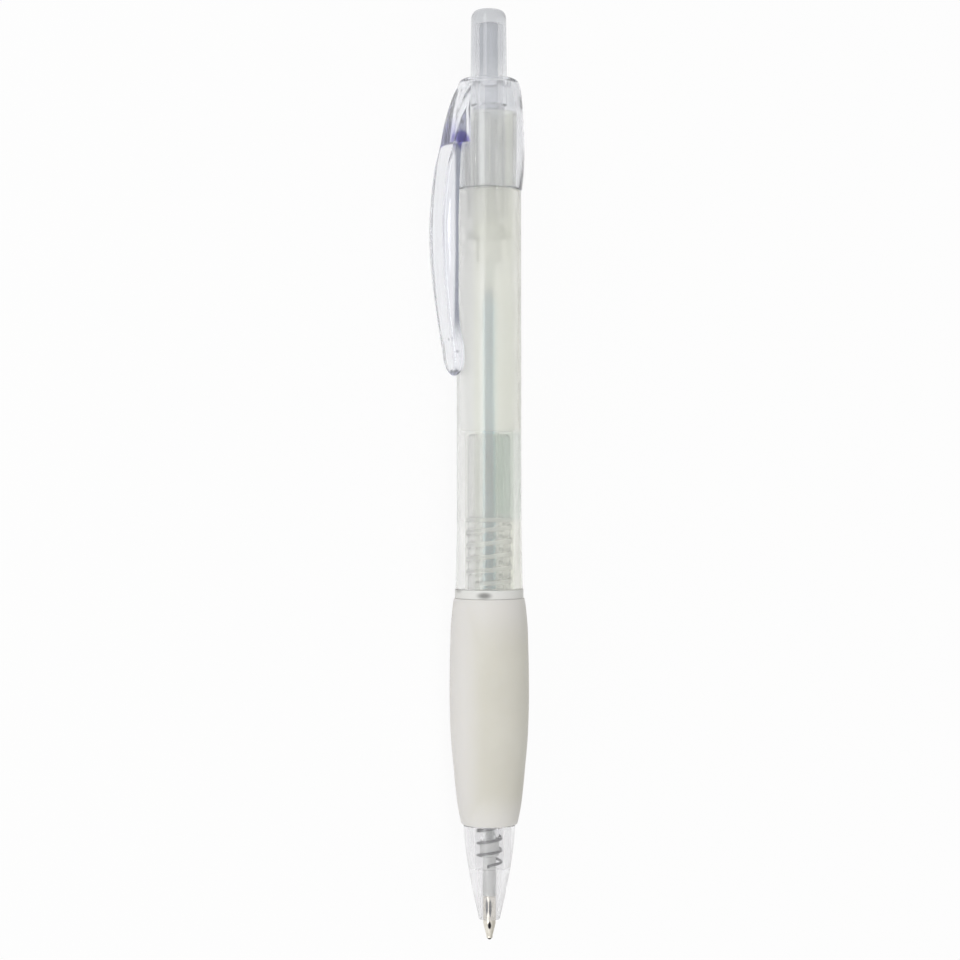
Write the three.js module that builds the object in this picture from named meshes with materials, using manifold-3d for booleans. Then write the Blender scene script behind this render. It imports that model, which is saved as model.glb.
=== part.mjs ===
// A retractable ballpoint pen, lying on a table on its grip and on its clip.
// Millimetres, +Z up. +X runs along the pen, from the push button to the writing tip.
// The origin is on the table, under the middle of the pen's bounding box.
//
// Each piece is drawn in the pen's own space first: z is the distance behind the writing tip,
// and the clip stands out along +x. The group at the end lays the whole pen down.
import * as THREE from "three";
import { mergeVertices } from "three/addons/utils/BufferGeometryUtils.js";
import Module from "manifold-3d";

const wasm = await Module();
wasm.setup();

// Clearances
const seatGap = 0.1; // between two faces that rest on each other
const slipFit = 0.05; // round a piece that is pushed on by hand
const runningFit = 0.15; // round a piece that slides or turns
const endPlay = 0.3; // along a piece that slides or turns
const fuse = 0.2; // how far two shapes of one piece run into each other
const cutOverrun = 1; // how far a cut runs past the piece it cuts

// Clear front section: nose cone, core under the grip, flange and threaded spigot
const pointReach = 3.15; // how far the metal point stands out of the nose
const noseLength = 14.2;
const noseEndRadius = 1.55;
const noseBaseRadius = 3.9;
const noseCurve = 1.5; // how soon the cone fills out
const noseBoreWall = 0.35; // width of the flat ring at the nose's end
const springSeatDepth = 7.75; // from the nose's end to the spring's seat
const coreRadius = 3.55;
const gripLength = 33.95;
const flangeLength = 1.2;
const flangeRadius = 5.15;
const spigotLength = 23.3;
const spigotRadius = 3.25;
const spigotChamfer = 0.4;
const threadHeight = 0.25;
const threadPitch = 2;
const threadTurns = 4.5;
const threadStart = 0.7; // from the flange to the thread's first turn
const threadFootShare = 0.3; // half the ridge's width at its foot, as a share of the pitch
const threadCrestShare = 0.1; // the same at its crest
const collarStart = 10.2; // from the flange to the spigot's collar
const collarLength = 0.6;

// Soft grip sleeve: the largest radius, and how far in from it the two ends are
const gripRadius = 5.98;
const gripFrontStep = 1.75;
const gripBackStep = 0.66;
const gripWidestPlace = 0.57; // as a share of its length

// Outlines between a widest place and an end: [share of the way to the end, share of its step in]
const gripFrontCurve = [
  [0.29, 0.09],
  [0.57, 0.35],
  [0.85, 0.68],
];
const gripBackCurve = [
  [0.64, 0.22],
  [0.9, 0.68],
];
const capMouthCurve = [[0.51, 0.22]];
const capShoulderCurve = [
  [0.42, 0.18],
  [0.81, 0.6],
];
const clipRootCurve = [
  [0.15, 0.04],
  [0.41, 0.18],
  [0.54, 0.34],
  [0.71, 0.49],
  [0.88, 0.7],
];
const clipTipCurve = [
  [0.32, 0.13],
  [0.66, 0.51],
];
const clipInsideBackCurve = [[0.7, 0.55]];
const clipInsideFrontCurve = [[0.7, 0.33]];
const barrelFlareCurve = [[0.6, 0.5]];

// Frosted upper barrel
const barrelLength = 59.85;
const barrelRadius = 4.875;
const barrelFlare = 0.175; // how much wider the barrel's front end is
const barrelFlareLength = 10;
const neckLength = 11.5;
const neckRadius = 4.2;
const guideRibCount = 4;
const guideRibLength = 10.5;
const guideRibWidth = 2;
const guideRibInset = 0.4; // from the neck's end

// Clear cap, moulded with its clip
const capLength = 16.55;
const capMouthRadius = 5;
const capRadius = 5.37;
const capShoulderRadius = 4.8;
const capWidestPlace = 0.35; // as a share of its length, from its mouth
const capTopFlatRadius = 3.9;
const capTopThickness = 0.7;
const capShoulderLength = 1.4;
const capShoulderCrown = 0.25; // how far the shoulder leans in as it rounds over
const clipLength = 44.6; // from the cap's top to the clip's free end
const clipRootDepth = 10; // from the cap's top to the slot behind the clip
const clipRootInset = 0.3; // from the cap's top to where the clip grows out of it
const clipBow = 9.2; // from the pen's axis to the outermost point of the clip
const clipBowPlace = 0.49; // as a share of its length, from its free end
const clipHalfWidth = 2.6;
const clipWidestPlace = 0.4; // as a share of its length, from its free end
const clipRootHalfWidth = 2;
const clipRootTaper = 7; // from the cap's top to where it has its full width
const clipTipHalfWidth = 2;
const clipTipRound = 2.6; // length of the free end's rounding
const clipThickness = 2.7; // where it bows out most
const clipTipThickness = 2.1;
const clipTipTaper = 4; // from the free end to where the tip has its thickness
const clipTipEdge = 1.1; // how far the free end's outer edge is rounded down
const clipTipGap = 0.33; // between the clip's foot and the barrel
const clipInsideBackStep = 0.55; // how much nearer the clip's inside is at the slot's top
const clipInsideFrontStep = 0.45; // the same at the top of the foot's ramp
const clipFootLength = 3.6;
const clipRampLength = 3.8; // from the foot up to the clip's inside
const clipToeLength = 1.4; // the foot's rounded front edge
const clipToeHeight = 0.35;

// Clear push button
const buttonReach = 10.5; // how far it stands out of the cap with the point out
const buttonRadius = 2.65;
const buttonTaper = 0.11; // how much wider the button is at the cap
const buttonEdge = 1.1; // how far in its rounded top edge reaches
const buttonEdgeLength = 1.54; // how far down it reaches
const buttonStepLength = 0.3; // the cone between the plunger and the button
const buttonFlatThickness = 2;
const buttonBoreRadius = 1.42;
const plungerRadius = 2.4;
const plungerDepth = 21.7; // from the cap's top to the plunger's teeth
const plungerFinCount = 4;
const plungerFinWidth = 1;
const plungerFinRadius = 3.3;
const plungerFinInset = 0.8; // from the plunger's teeth

// Ratchet rotor
const rotorLength = 5.4;
const rotorStemRadius = 1.85;
const rotorStemLength = 3.3;
const rotorPinLength = 5.5;
const rotorFinCount = 4;
const rotorFinWidth = 1;
const crownTeeth = 8;
const crownHeight = 0.35;

// Travel of the mechanism
const retractTravel = 5.5;
const overPress = 1.2;

// Refill
const tubeRadius = 1.45;
const tubeWall = 0.5;
const inkLevelDrop = 4; // from the tube's open end to the ink
const earLength = 1.6;
const earWidth = 0.8;
const adapterCollarLength = 2.4;
const adapterPlugLength = 3.8;
const adapterNozzleRadius = 0.97;
const adapterNozzleLength = 5.8;
const adapterChamfer = 0.3;
const inkChannelRadius = 0.3;
const pointRadius = 0.95;
const pointLength = 6.5;
const pointConeLength = 2.2;
const pointConeRound = 0.12; // how much narrower the cone's rounded back is than the point
const pointConeRoundLength = 0.5;
const pointLipRadius = 0.47;
const pointLipLength = 0.3;
const pointShankRadius = 0.76;
const pointShankLength = 3.6;
const ballRadius = 0.35;
const ballStandOut = 0.3; // how much of the ball stands out of the point's lip
const socketClearance = 0.05;
const socketDepth = 0.5;
const socketTaper = 0.1; // length of the cone between the socket and the ink channel

// Spring
const springWireRadius = 0.2;
const springClearance = 0.2; // round the spring in its pocket
const springMeanRadius = 1.75;
const springTurns = 11;
const springLength = 20.3;

// Facets
const bodyFacets = 40;
const innerFacets = 24;
const curveSteps = 12;
const springStepsPerTurn = 8;
const springSides = 5;
const threadStepsPerTurn = 20;

// Places along the pen, behind the writing tip
const noseEnd = pointReach;
const springSeat = noseEnd + springSeatDepth;
const gripFront = noseEnd + noseLength + seatGap;
const gripBack = gripFront + gripLength;
const flangeFront = gripBack + seatGap;
const flangeBack = flangeFront + flangeLength;
const spigotBack = flangeBack + spigotLength;
const barrelFront = flangeBack + seatGap;
const barrelBack = barrelFront + barrelLength;
const neckBack = barrelBack + neckLength;
const capFront = barrelBack + seatGap;
const capBack = capFront + capLength;
const capInnerTop = capBack - capTopThickness;
const clipFront = capBack - clipLength;
const slotBack = capBack - clipRootDepth;
const clipBowAt = clipFront + clipLength * clipBowPlace;
const buttonBack = capBack + buttonReach;
const plungerFront = capBack - plungerDepth;
const rotorBack = plungerFront - endPlay;
const rotorFront = rotorBack - rotorLength;
const tubeBack = rotorFront - endPlay;
const pointBack = ballStandOut + pointLength;
const nozzleFront = pointBack + seatGap;
const adapterCollarFront = nozzleFront + adapterNozzleLength;
const tubeFront = adapterCollarFront + adapterCollarLength + seatGap;
const springFront = springSeat + endPlay;
const springBack = springFront + springLength;
const earFront = springBack + endPlay;
const penLength = buttonBack;

// Fits
const springPocketRadius = springMeanRadius + springWireRadius + springClearance;
const earRadius = springPocketRadius - runningFit - slipFit;
const noseBoreRadius = noseEndRadius - noseBoreWall;
const gripBoreRadius = coreRadius + slipFit;
const barrelBoreRadius = Math.max(spigotRadius + threadHeight, plungerFinRadius) + runningFit + slipFit;
const guideRibInner = plungerRadius + runningFit + slipFit;
const guideRibBack = neckBack - guideRibInset;
const guideRibFront = guideRibBack - guideRibLength;
const capBoreRadius = neckRadius + seatGap;
const capHoleRadius = buttonRadius + buttonTaper + runningFit;
const plungerFinBack = capInnerTop - retractTravel - endPlay;
const plungerFinFront = plungerFront + plungerFinInset;
const buttonStepFront = guideRibBack + overPress + endPlay;
const tubeBoreRadius = tubeRadius - tubeWall;
const fittedRadius = tubeBoreRadius - slipFit;
const shankBoreRadius = pointShankRadius + slipFit;
const ballCentre = ballRadius;

// Geometry helpers
function weld(geometry) {
  const bare = new THREE.BufferGeometry();
  bare.setAttribute("position", geometry.getAttribute("position"));
  bare.setIndex(geometry.getIndex());
  const merged = mergeVertices(bare, 1e-5);
  const corners = merged.getIndex().array;
  const kept = [];
  for (let i = 0; i < corners.length; i += 3) {
    const [a, b, c] = [corners[i], corners[i + 1], corners[i + 2]];
    if (a !== b && b !== c && c !== a) kept.push(a, b, c);
  }
  merged.setIndex(kept);
  return merged;
}

function signedVolume(geometry) {
  const p = geometry.getAttribute("position");
  const corners = geometry.getIndex().array;
  const [a, b, c] = [new THREE.Vector3(), new THREE.Vector3(), new THREE.Vector3()];
  let six = 0;
  for (let i = 0; i < corners.length; i += 3) {
    a.fromBufferAttribute(p, corners[i]);
    b.fromBufferAttribute(p, corners[i + 1]);
    c.fromBufferAttribute(p, corners[i + 2]);
    six += a.dot(b.cross(c));
  }
  return six / 6;
}

// A closed mesh with its faces pointing out
function closed(geometry) {
  const welded = weld(geometry);
  if (signedVolume(welded) < 0) {
    const corners = welded.getIndex().array;
    for (let i = 0; i < corners.length; i += 3) {
      [corners[i], corners[i + 1]] = [corners[i + 1], corners[i]];
    }
  }
  return welded;
}

function solid(geometry) {
  const body = closed(geometry);
  return new wasm.Manifold(
    new wasm.Mesh({
      numProp: 3,
      vertProperties: new Float32Array(body.getAttribute("position").array),
      triVerts: new Uint32Array(body.getIndex().array),
    }),
  );
}

function fromSolid(manifold) {
  const mesh = manifold.getMesh();
  const geometry = new THREE.BufferGeometry();
  geometry.setAttribute("position", new THREE.BufferAttribute(new Float32Array(mesh.vertProperties), 3));
  geometry.setIndex(Array.from(mesh.triVerts));
  return geometry;
}

function point(radius, z) {
  return new THREE.Vector2(radius, z);
}

// A turned body. The outline is a list of points (radius, z), either a closed loop or axis to axis.
function turned(outline, facets) {
  const first = outline[0];
  const last = outline[outline.length - 1];
  const onAxis = first.x === 0 && last.x === 0;
  const loop = onAxis ? outline : [...outline, first];
  return new THREE.LatheGeometry(loop, facets).rotateX(Math.PI / 2);
}

function tube(outerRadius, innerRadius, front, back, facets) {
  const outline = [
    point(innerRadius, front),
    point(outerRadius, front),
    point(outerRadius, back),
    point(innerRadius, back),
  ];
  return turned(outline, facets);
}

function rod(radius, front, back, facets) {
  return turned([point(0, front), point(radius, front), point(radius, back), point(0, back)], facets);
}

// A block from one radius to another, standing out at an angle round the axis
function radialBlock(from, to, width, front, back, angle) {
  const block = new THREE.BoxGeometry(to - from, width, back - front);
  block.translate((from + to) / 2, 0, (front + back) / 2);
  return block.rotateZ(angle);
}

function addRadialBlocks(body, count, turn, from, to, width, front, back) {
  let result = body;
  for (let i = 0; i < count; i += 1) {
    const angle = turn + (i * 2 * Math.PI) / count;
    result = result.add(solid(radialBlock(from, to, width, front, back, angle)));
  }
  return result;
}

// A closed skin through rings of equal size, with flat ends unless the rings close on themselves
function loft(rings, closesOnItself) {
  const size = rings[0].length;
  const positions = rings.flat().flatMap((v) => [v.x, v.y, v.z]);
  const faces = [];
  const spans = closesOnItself ? rings.length : rings.length - 1;
  for (let i = 0; i < spans; i += 1) {
    const here = i * size;
    const next = ((i + 1) % rings.length) * size;
    for (let j = 0; j < size; j += 1) {
      const k = (j + 1) % size;
      faces.push(here + j, here + k, next + k);
      faces.push(here + j, next + k, next + j);
    }
  }
  if (!closesOnItself) {
    const last = (rings.length - 1) * size;
    for (let j = 1; j < size - 1; j += 1) {
      faces.push(0, j + 1, j);
      faces.push(last, last + j, last + j + 1);
    }
  }
  const geometry = new THREE.BufferGeometry();
  geometry.setAttribute("position", new THREE.Float32BufferAttribute(positions, 3));
  geometry.setIndex(faces);
  return geometry;
}

// A ring whose one end rises and falls in teeth
function crown(innerRadius, outerRadius, root, edge) {
  const steps = crownTeeth * 2;
  const rings = [];
  for (let i = 0; i < steps; i += 1) {
    const angle = (i * 2 * Math.PI) / steps;
    const out = new THREE.Vector3(Math.cos(angle), Math.sin(angle), 0);
    const top = i % 2 === 0 ? edge : edge - Math.sign(edge - root) * crownHeight;
    const corner = (radius, z) => out.clone().multiplyScalar(radius).setZ(z);
    rings.push([
      corner(innerRadius, root),
      corner(outerRadius, root),
      corner(outerRadius, top),
      corner(innerRadius, top),
    ]);
  }
  return loft(rings, true);
}

function smooth(points, steps) {
  return new THREE.SplineCurve(points).getPoints(steps);
}

// The places between a widest point and an end, in the order of the curve
function between(widest, end, curve) {
  return curve.map(([way, step]) =>
    point(widest.x + (end.x - widest.x) * step, widest.y + (end.y - widest.y) * way),
  );
}

// A side that swells from its front end to its widest point and narrows to its back end
function swollenSide(front, widest, back, frontCurve, backCurve) {
  const before = between(widest, front, frontCurve).reverse();
  return [front, ...before, widest, ...between(widest, back, backCurve), back];
}

// Clear front section
function noseOutline() {
  const points = [];
  for (let i = 0; i <= curveSteps; i += 1) {
    const t = i / curveSteps;
    const fill = 1 - (1 - t) ** noseCurve;
    points.push(point(noseEndRadius + (noseBaseRadius - noseEndRadius) * fill, noseEnd + noseLength * t));
  }
  return points;
}

function threadRidge() {
  const steps = Math.round(threadTurns * threadStepsPerTurn);
  const root = spigotRadius - fuse;
  const crest = spigotRadius + threadHeight;
  const footHalf = threadPitch * threadFootShare;
  const crestHalf = threadPitch * threadCrestShare;
  const rings = [];
  for (let i = 0; i <= steps; i += 1) {
    const angle = (i * 2 * Math.PI) / threadStepsPerTurn;
    const z = flangeBack + threadStart + (threadPitch * i) / threadStepsPerTurn;
    const out = new THREE.Vector3(Math.cos(angle), Math.sin(angle), 0);
    const corner = (radius, dz) => out.clone().multiplyScalar(radius).setZ(z + dz);
    rings.push([
      corner(root, -footHalf),
      corner(crest, -crestHalf),
      corner(crest, crestHalf),
      corner(root, footHalf),
    ]);
  }
  return loft(rings, false);
}

function frontSection() {
  const collarFront = flangeBack + collarStart;
  const collarBack = collarFront + collarLength;
  const collarRadius = spigotRadius + threadHeight;
  const outline = [
    ...noseOutline(),
    point(coreRadius, noseEnd + noseLength),
    point(coreRadius, flangeFront),
    point(flangeRadius, flangeFront),
    point(flangeRadius, flangeBack),
    point(spigotRadius, flangeBack),
    point(spigotRadius, collarFront),
    point(collarRadius, collarFront),
    point(collarRadius, collarBack),
    point(spigotRadius, collarBack),
    point(spigotRadius, spigotBack - spigotChamfer),
    point(spigotRadius - spigotChamfer, spigotBack),
    point(springPocketRadius, spigotBack),
    point(springPocketRadius, springSeat),
    point(noseBoreRadius, springSeat),
    point(noseBoreRadius, noseEnd),
  ];
  return fromSolid(solid(turned(outline, bodyFacets)).add(solid(threadRidge())));
}

// Soft grip sleeve
function gripSleeve() {
  const side = swollenSide(
    point(gripRadius - gripFrontStep, gripFront),
    point(gripRadius, gripFront + gripLength * gripWidestPlace),
    point(gripRadius - gripBackStep, gripBack),
    gripFrontCurve,
    gripBackCurve,
  );
  const outline = smooth(side, curveSteps * 2);
  outline.push(point(gripBoreRadius, gripBack), point(gripBoreRadius, gripFront));
  return closed(turned(outline, bodyFacets));
}

// Frosted upper barrel
function upperBarrel() {
  const mouth = point(barrelRadius + barrelFlare, barrelFront);
  const flareBack = point(barrelRadius, barrelFront + barrelFlareLength);
  const outline = [
    point(barrelBoreRadius, barrelFront),
    mouth,
    ...between(flareBack, mouth, barrelFlareCurve),
    flareBack,
    point(barrelRadius, barrelBack),
    point(neckRadius, barrelBack),
    point(neckRadius, neckBack),
    point(barrelBoreRadius, neckBack),
  ];
  const wallMiddle = (barrelBoreRadius + neckRadius) / 2;
  const body = addRadialBlocks(
    solid(turned(outline, bodyFacets)),
    guideRibCount,
    Math.PI / guideRibCount,
    guideRibInner,
    wallMiddle,
    guideRibWidth,
    guideRibFront,
    guideRibBack,
  );
  return fromSolid(body);
}

// Clear cap with its clip
function capOutline() {
  const shoulderFront = point(capShoulderRadius, capBack - capShoulderLength);
  const side = swollenSide(
    point(capMouthRadius, capFront),
    point(capRadius, capFront + capLength * capWidestPlace),
    shoulderFront,
    capMouthCurve,
    capShoulderCurve,
  );
  const shoulder = new THREE.QuadraticBezierCurve(
    shoulderFront,
    point(capShoulderRadius - capShoulderCrown, capBack),
    point(capTopFlatRadius, capBack),
  );
  return [...smooth(side, curveSteps), ...shoulder.getPoints(curveSteps / 3).slice(1)];
}

function capCavity() {
  const dome = neckBack + endPlay;
  const domeTopRadius = plungerFinRadius + runningFit + slipFit;
  const outline = [
    point(0, capFront - cutOverrun),
    point(capBoreRadius, capFront - cutOverrun),
    point(capBoreRadius, dome),
    point(domeTopRadius, capInnerTop),
    point(capHoleRadius, capInnerTop),
    point(capHoleRadius, capBack + cutOverrun),
    point(0, capBack + cutOverrun),
  ];
  return turned(outline, bodyFacets);
}

// The clip from the side, with x away from the pen's axis and y along it
function clipSide() {
  const root = point(capTopFlatRadius, capBack - clipRootInset);
  const foot = barrelRadius + clipTipGap;
  const tip = point(foot + clipTipThickness, clipFront + clipTipTaper);
  const toe = point(foot + clipTipThickness - clipTipEdge, clipFront);
  const outer = swollenSide(tip, point(clipBow, clipBowAt), root, clipTipCurve, clipRootCurve).reverse();
  const inner = clipBow - clipThickness;
  const slotCorner = point(inner - clipInsideBackStep, slotBack);
  const rampBack = point(inner - clipInsideFrontStep, clipFront + clipFootLength + clipRampLength);
  const inside = [
    point(foot + clipToeHeight, clipFront + clipToeHeight),
    point(foot, clipFront + clipToeLength),
    point(foot, clipFront + clipFootLength),
    ...swollenSide(
      rampBack,
      point(inner, clipBowAt),
      slotCorner,
      clipInsideFrontCurve,
      clipInsideBackCurve,
    ),
  ];
  const wallRadius = Math.min(capBoreRadius, capTopFlatRadius) - fuse;
  const shape = new THREE.Shape();
  shape.moveTo(wallRadius, root.y);
  shape.lineTo(root.x, root.y);
  shape.splineThru([...outer.slice(1), toe]);
  inside.forEach((p) => shape.lineTo(p.x, p.y));
  shape.lineTo(wallRadius, slotBack);
  shape.closePath();
  return shape;
}

// The clip from the front, with x across it and y along the pen
function clipFace() {
  const roundCentre = clipFront + clipTipRound;
  const quarter = -Math.PI / 2;
  const round = new THREE.EllipseCurve(0, roundCentre, clipTipHalfWidth, clipTipRound, 0, quarter, true);
  const edge = [
    point(clipRootHalfWidth, capBack),
    point(clipHalfWidth, capBack - clipRootTaper),
    point(clipHalfWidth, clipFront + clipLength * clipWidestPlace),
    ...round.getPoints(curveSteps),
  ];
  const left = edge.slice(0, -1).reverse().map((p) => point(-p.x, p.y));
  return new THREE.Shape([...edge, ...left]);
}

function clip() {
  const sideView = new THREE.ExtrudeGeometry(clipSide(), {
    depth: clipHalfWidth * 4,
    bevelEnabled: false,
    curveSegments: 2 * curveSteps,
  });
  sideView.translate(0, 0, -clipHalfWidth * 2).rotateX(Math.PI / 2);
  const frontView = new THREE.ExtrudeGeometry(clipFace(), { depth: clipBow * 2, bevelEnabled: false });
  const [x, y, z] = [new THREE.Vector3(1, 0, 0), new THREE.Vector3(0, 1, 0), new THREE.Vector3(0, 0, 1)];
  frontView.applyMatrix4(new THREE.Matrix4().makeBasis(y, z, x));
  return solid(sideView).intersect(solid(frontView));
}

function clipCap() {
  const outline = [point(0, capFront), ...capOutline(), point(0, capBack)];
  const shell = solid(turned(outline, bodyFacets)).add(clip());
  return fromSolid(shell.subtract(solid(capCavity())));
}

// Clear push button
function pushButton() {
  const flatRadius = buttonRadius - buttonEdge;
  const edge = new THREE.QuadraticBezierCurve(
    point(buttonRadius, buttonBack - buttonEdgeLength),
    point(buttonRadius, buttonBack),
    point(flatRadius, buttonBack),
  );
  const crownRoot = plungerFront + 2 * crownHeight;
  const outline = [
    point(buttonBoreRadius, crownRoot),
    point(plungerRadius, crownRoot),
    point(plungerRadius, buttonStepFront),
    point(buttonRadius + buttonTaper, buttonStepFront + buttonStepLength),
    point(buttonRadius + buttonTaper, capBack),
    ...edge.getPoints(curveSteps / 2),
    point(0, buttonBack),
    point(0, buttonBack - buttonFlatThickness),
    point(buttonBoreRadius, buttonBack - buttonFlatThickness),
  ];
  const shell = turned([...outline.slice(-2), ...outline.slice(0, -2)], bodyFacets);
  const teeth = crown(buttonBoreRadius, plungerRadius, crownRoot + fuse, plungerFront);
  const toothed = solid(shell).add(solid(teeth));
  const wallMiddle = (buttonBoreRadius + plungerRadius) / 2;
  return fromSolid(
    addRadialBlocks(
      toothed,
      plungerFinCount,
      0,
      wallMiddle,
      plungerFinRadius,
      plungerFinWidth,
      plungerFinFront,
      plungerFinBack,
    ),
  );
}

// Ratchet rotor
function ratchetRotor() {
  const stemBack = rotorFront + rotorStemLength;
  const crownRoot = rotorBack - 2 * crownHeight;
  const pinRadius = buttonBoreRadius - runningFit;
  const outline = [
    point(0, rotorFront),
    point(rotorStemRadius, rotorFront),
    point(rotorStemRadius, stemBack),
    point(plungerRadius, stemBack),
    point(plungerRadius, crownRoot),
    point(pinRadius, crownRoot),
    point(pinRadius, rotorBack + rotorPinLength),
    point(0, rotorBack + rotorPinLength),
  ];
  const toothed = solid(turned(outline, innerFacets)).add(
    solid(crown(pinRadius - fuse, plungerRadius, crownRoot - fuse, rotorBack)),
  );
  return fromSolid(
    addRadialBlocks(
      toothed,
      rotorFinCount,
      Math.PI / rotorFinCount,
      rotorStemRadius,
      plungerFinRadius,
      rotorFinWidth,
      stemBack,
      crownRoot,
    ),
  );
}

// Refill tube, with the two crimped ears that the spring pushes on
function refillTube() {
  const wallMiddle = (tubeRadius + tubeBoreRadius) / 2;
  const body = solid(tube(tubeRadius, tubeBoreRadius, tubeFront, tubeBack, innerFacets));
  return fromSolid(
    addRadialBlocks(body, 2, 0, wallMiddle, earRadius, earWidth, earFront, earFront + earLength),
  );
}

function inkColumn() {
  const inkFront = tubeFront + adapterPlugLength + seatGap;
  return closed(rod(fittedRadius, inkFront, tubeBack - inkLevelDrop, innerFacets));
}

// Plastic adapter that joins the metal point to the tube
function pointAdapter() {
  const collarBack = adapterCollarFront + adapterCollarLength;
  const plugBack = tubeFront + adapterPlugLength;
  const shankRoom = nozzleFront + pointShankLength + seatGap;
  const outline = [
    point(shankBoreRadius, nozzleFront),
    point(adapterNozzleRadius, nozzleFront),
    point(adapterNozzleRadius, adapterCollarFront),
    point(tubeRadius, adapterCollarFront + adapterChamfer),
    point(tubeRadius, collarBack),
    point(fittedRadius, collarBack),
    point(fittedRadius, plugBack),
    point(inkChannelRadius, plugBack),
    point(inkChannelRadius, shankRoom),
    point(shankBoreRadius, shankRoom),
  ];
  return closed(turned(outline, innerFacets));
}

// Metal point with the ball's socket
function pointHousing() {
  const socketRadius = ballRadius + socketClearance;
  const coneBack = ballStandOut + pointConeLength;
  const outline = [
    point(socketRadius, ballStandOut),
    point(pointLipRadius, ballStandOut),
    point(pointLipRadius, ballStandOut + pointLipLength),
    point(pointRadius - pointConeRound, coneBack - pointConeRoundLength),
    point(pointRadius, coneBack),
    point(pointRadius, pointBack),
    point(pointShankRadius, pointBack),
    point(pointShankRadius, pointBack + pointShankLength),
    point(inkChannelRadius, pointBack + pointShankLength),
    point(inkChannelRadius, ballStandOut + socketDepth + socketTaper),
    point(socketRadius, ballStandOut + socketDepth),
  ];
  return closed(turned(outline, innerFacets));
}

function writingBall() {
  return closed(new THREE.IcosahedronGeometry(ballRadius, 2).translate(0, 0, ballCentre));
}

// Spring: one wire, straight for a wire's diameter at each end
function springPath() {
  const straight = 2 * springWireRadius;
  const steps = springTurns * springStepsPerTurn;
  const rise = springLength - 2 * straight;
  const path = [{ angle: 0, z: springFront }];
  for (let i = 0; i <= steps; i += 1) {
    const angle = (i * 2 * Math.PI) / springStepsPerTurn;
    path.push({ angle, z: springFront + straight + (rise * i) / steps });
  }
  path.push({ angle: path[path.length - 1].angle, z: springBack });
  return path.map(({ angle, z }) => {
    const out = new THREE.Vector3(Math.cos(angle), Math.sin(angle), 0);
    return { out, at: out.clone().multiplyScalar(springMeanRadius).setZ(z) };
  });
}

function leastGap(path) {
  let least = Infinity;
  for (let i = 0; i < path.length; i += 1) {
    for (let j = i + springStepsPerTurn / 2; j < path.length; j += 1) {
      least = Math.min(least, path[i].at.distanceTo(path[j].at));
    }
  }
  return least - 2 * springWireRadius;
}

function spring() {
  const path = springPath();
  console.log(`spring: least gap to itself ${leastGap(path).toFixed(2)} mm`);
  const rings = path.map(({ out, at }, i) => {
    const before = path[Math.max(i - 1, 0)].at;
    const after = path[Math.min(i + 1, path.length - 1)].at;
    const along = after.clone().sub(before).normalize();
    const across = along.clone().cross(out).normalize();
    const ring = [];
    for (let j = 0; j < springSides; j += 1) {
      const turn = (j * 2 * Math.PI) / springSides;
      const offset = out.clone().multiplyScalar(Math.cos(turn) * springWireRadius);
      offset.addScaledVector(across, Math.sin(turn) * springWireRadius);
      ring.push(at.clone().add(offset));
    }
    return ring;
  });
  return closed(loft(rings, false));
}

// Materials
function material(color, roughness, metalness) {
  return new THREE.MeshStandardMaterial({ color, roughness, metalness });
}

const clearPlastic = material(0xd4d8dc, 0.08, 0);
const clearVioletPlastic = material(0xcfd2dc, 0.08, 0);
const frostedPlastic = material(0xdbdcd2, 0.45, 0);
const softRubber = material(0xe2e0d6, 0.7, 0);
const whitePlastic = material(0xe6e8e6, 0.35, 0);
const tubePlastic = material(0xdfe6e4, 0.3, 0);
const blueInk = material(0x1c3f66, 0.3, 0);
const nickelSilver = material(0xb8b1a2, 0.25, 1);
const carbide = material(0x3c3a38, 0.3, 1);
const springSteel = material(0x9a9c9e, 0.25, 1);

function piece(name, geometry, finish) {
  const mesh = new THREE.Mesh(geometry, finish);
  mesh.name = name;
  return mesh;
}

// The pen lies on its grip and on the clip's outer edge: the edge is as far below the axis as the grip
const clipEdgeReach = Math.hypot(clipBow, clipHalfWidth);
const clipDrop = Math.asin(gripRadius / clipEdgeReach) - Math.atan2(clipHalfWidth, clipBow);
const clipSideReach = clipBow * Math.cos(clipDrop) + clipHalfWidth * Math.sin(clipDrop);

const pen = new THREE.Group();
pen.add(
  piece("front_section", frontSection(), clearPlastic),
  piece("grip_sleeve", gripSleeve(), softRubber),
  piece("upper_barrel", upperBarrel(), frostedPlastic),
  piece("clip_cap", clipCap(), clearVioletPlastic),
  piece("push_button", pushButton(), clearPlastic),
  piece("ratchet_rotor", ratchetRotor(), whitePlastic),
  piece("refill_tube", refillTube(), tubePlastic),
  piece("ink_column", inkColumn(), blueInk),
  piece("point_adapter", pointAdapter(), whitePlastic),
  piece("point_housing", pointHousing(), nickelSilver),
  piece("writing_ball", writingBall(), carbide),
  piece("spring", spring(), springSteel),
);
const clipWay = new THREE.Vector3(0, -Math.cos(clipDrop), -Math.sin(clipDrop));
const buttonWay = new THREE.Vector3(-1, 0, 0);
const across = buttonWay.clone().cross(clipWay);
pen.quaternion.setFromRotationMatrix(new THREE.Matrix4().makeBasis(clipWay, across, buttonWay));
pen.position.set(penLength / 2, (clipSideReach - gripRadius) / 2, gripRadius);

const table = new THREE.Group();
table.add(pen);

export default table;
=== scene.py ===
import math

import bmesh
import bpy
import numpy as np
from mathutils import Matrix, Vector


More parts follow.
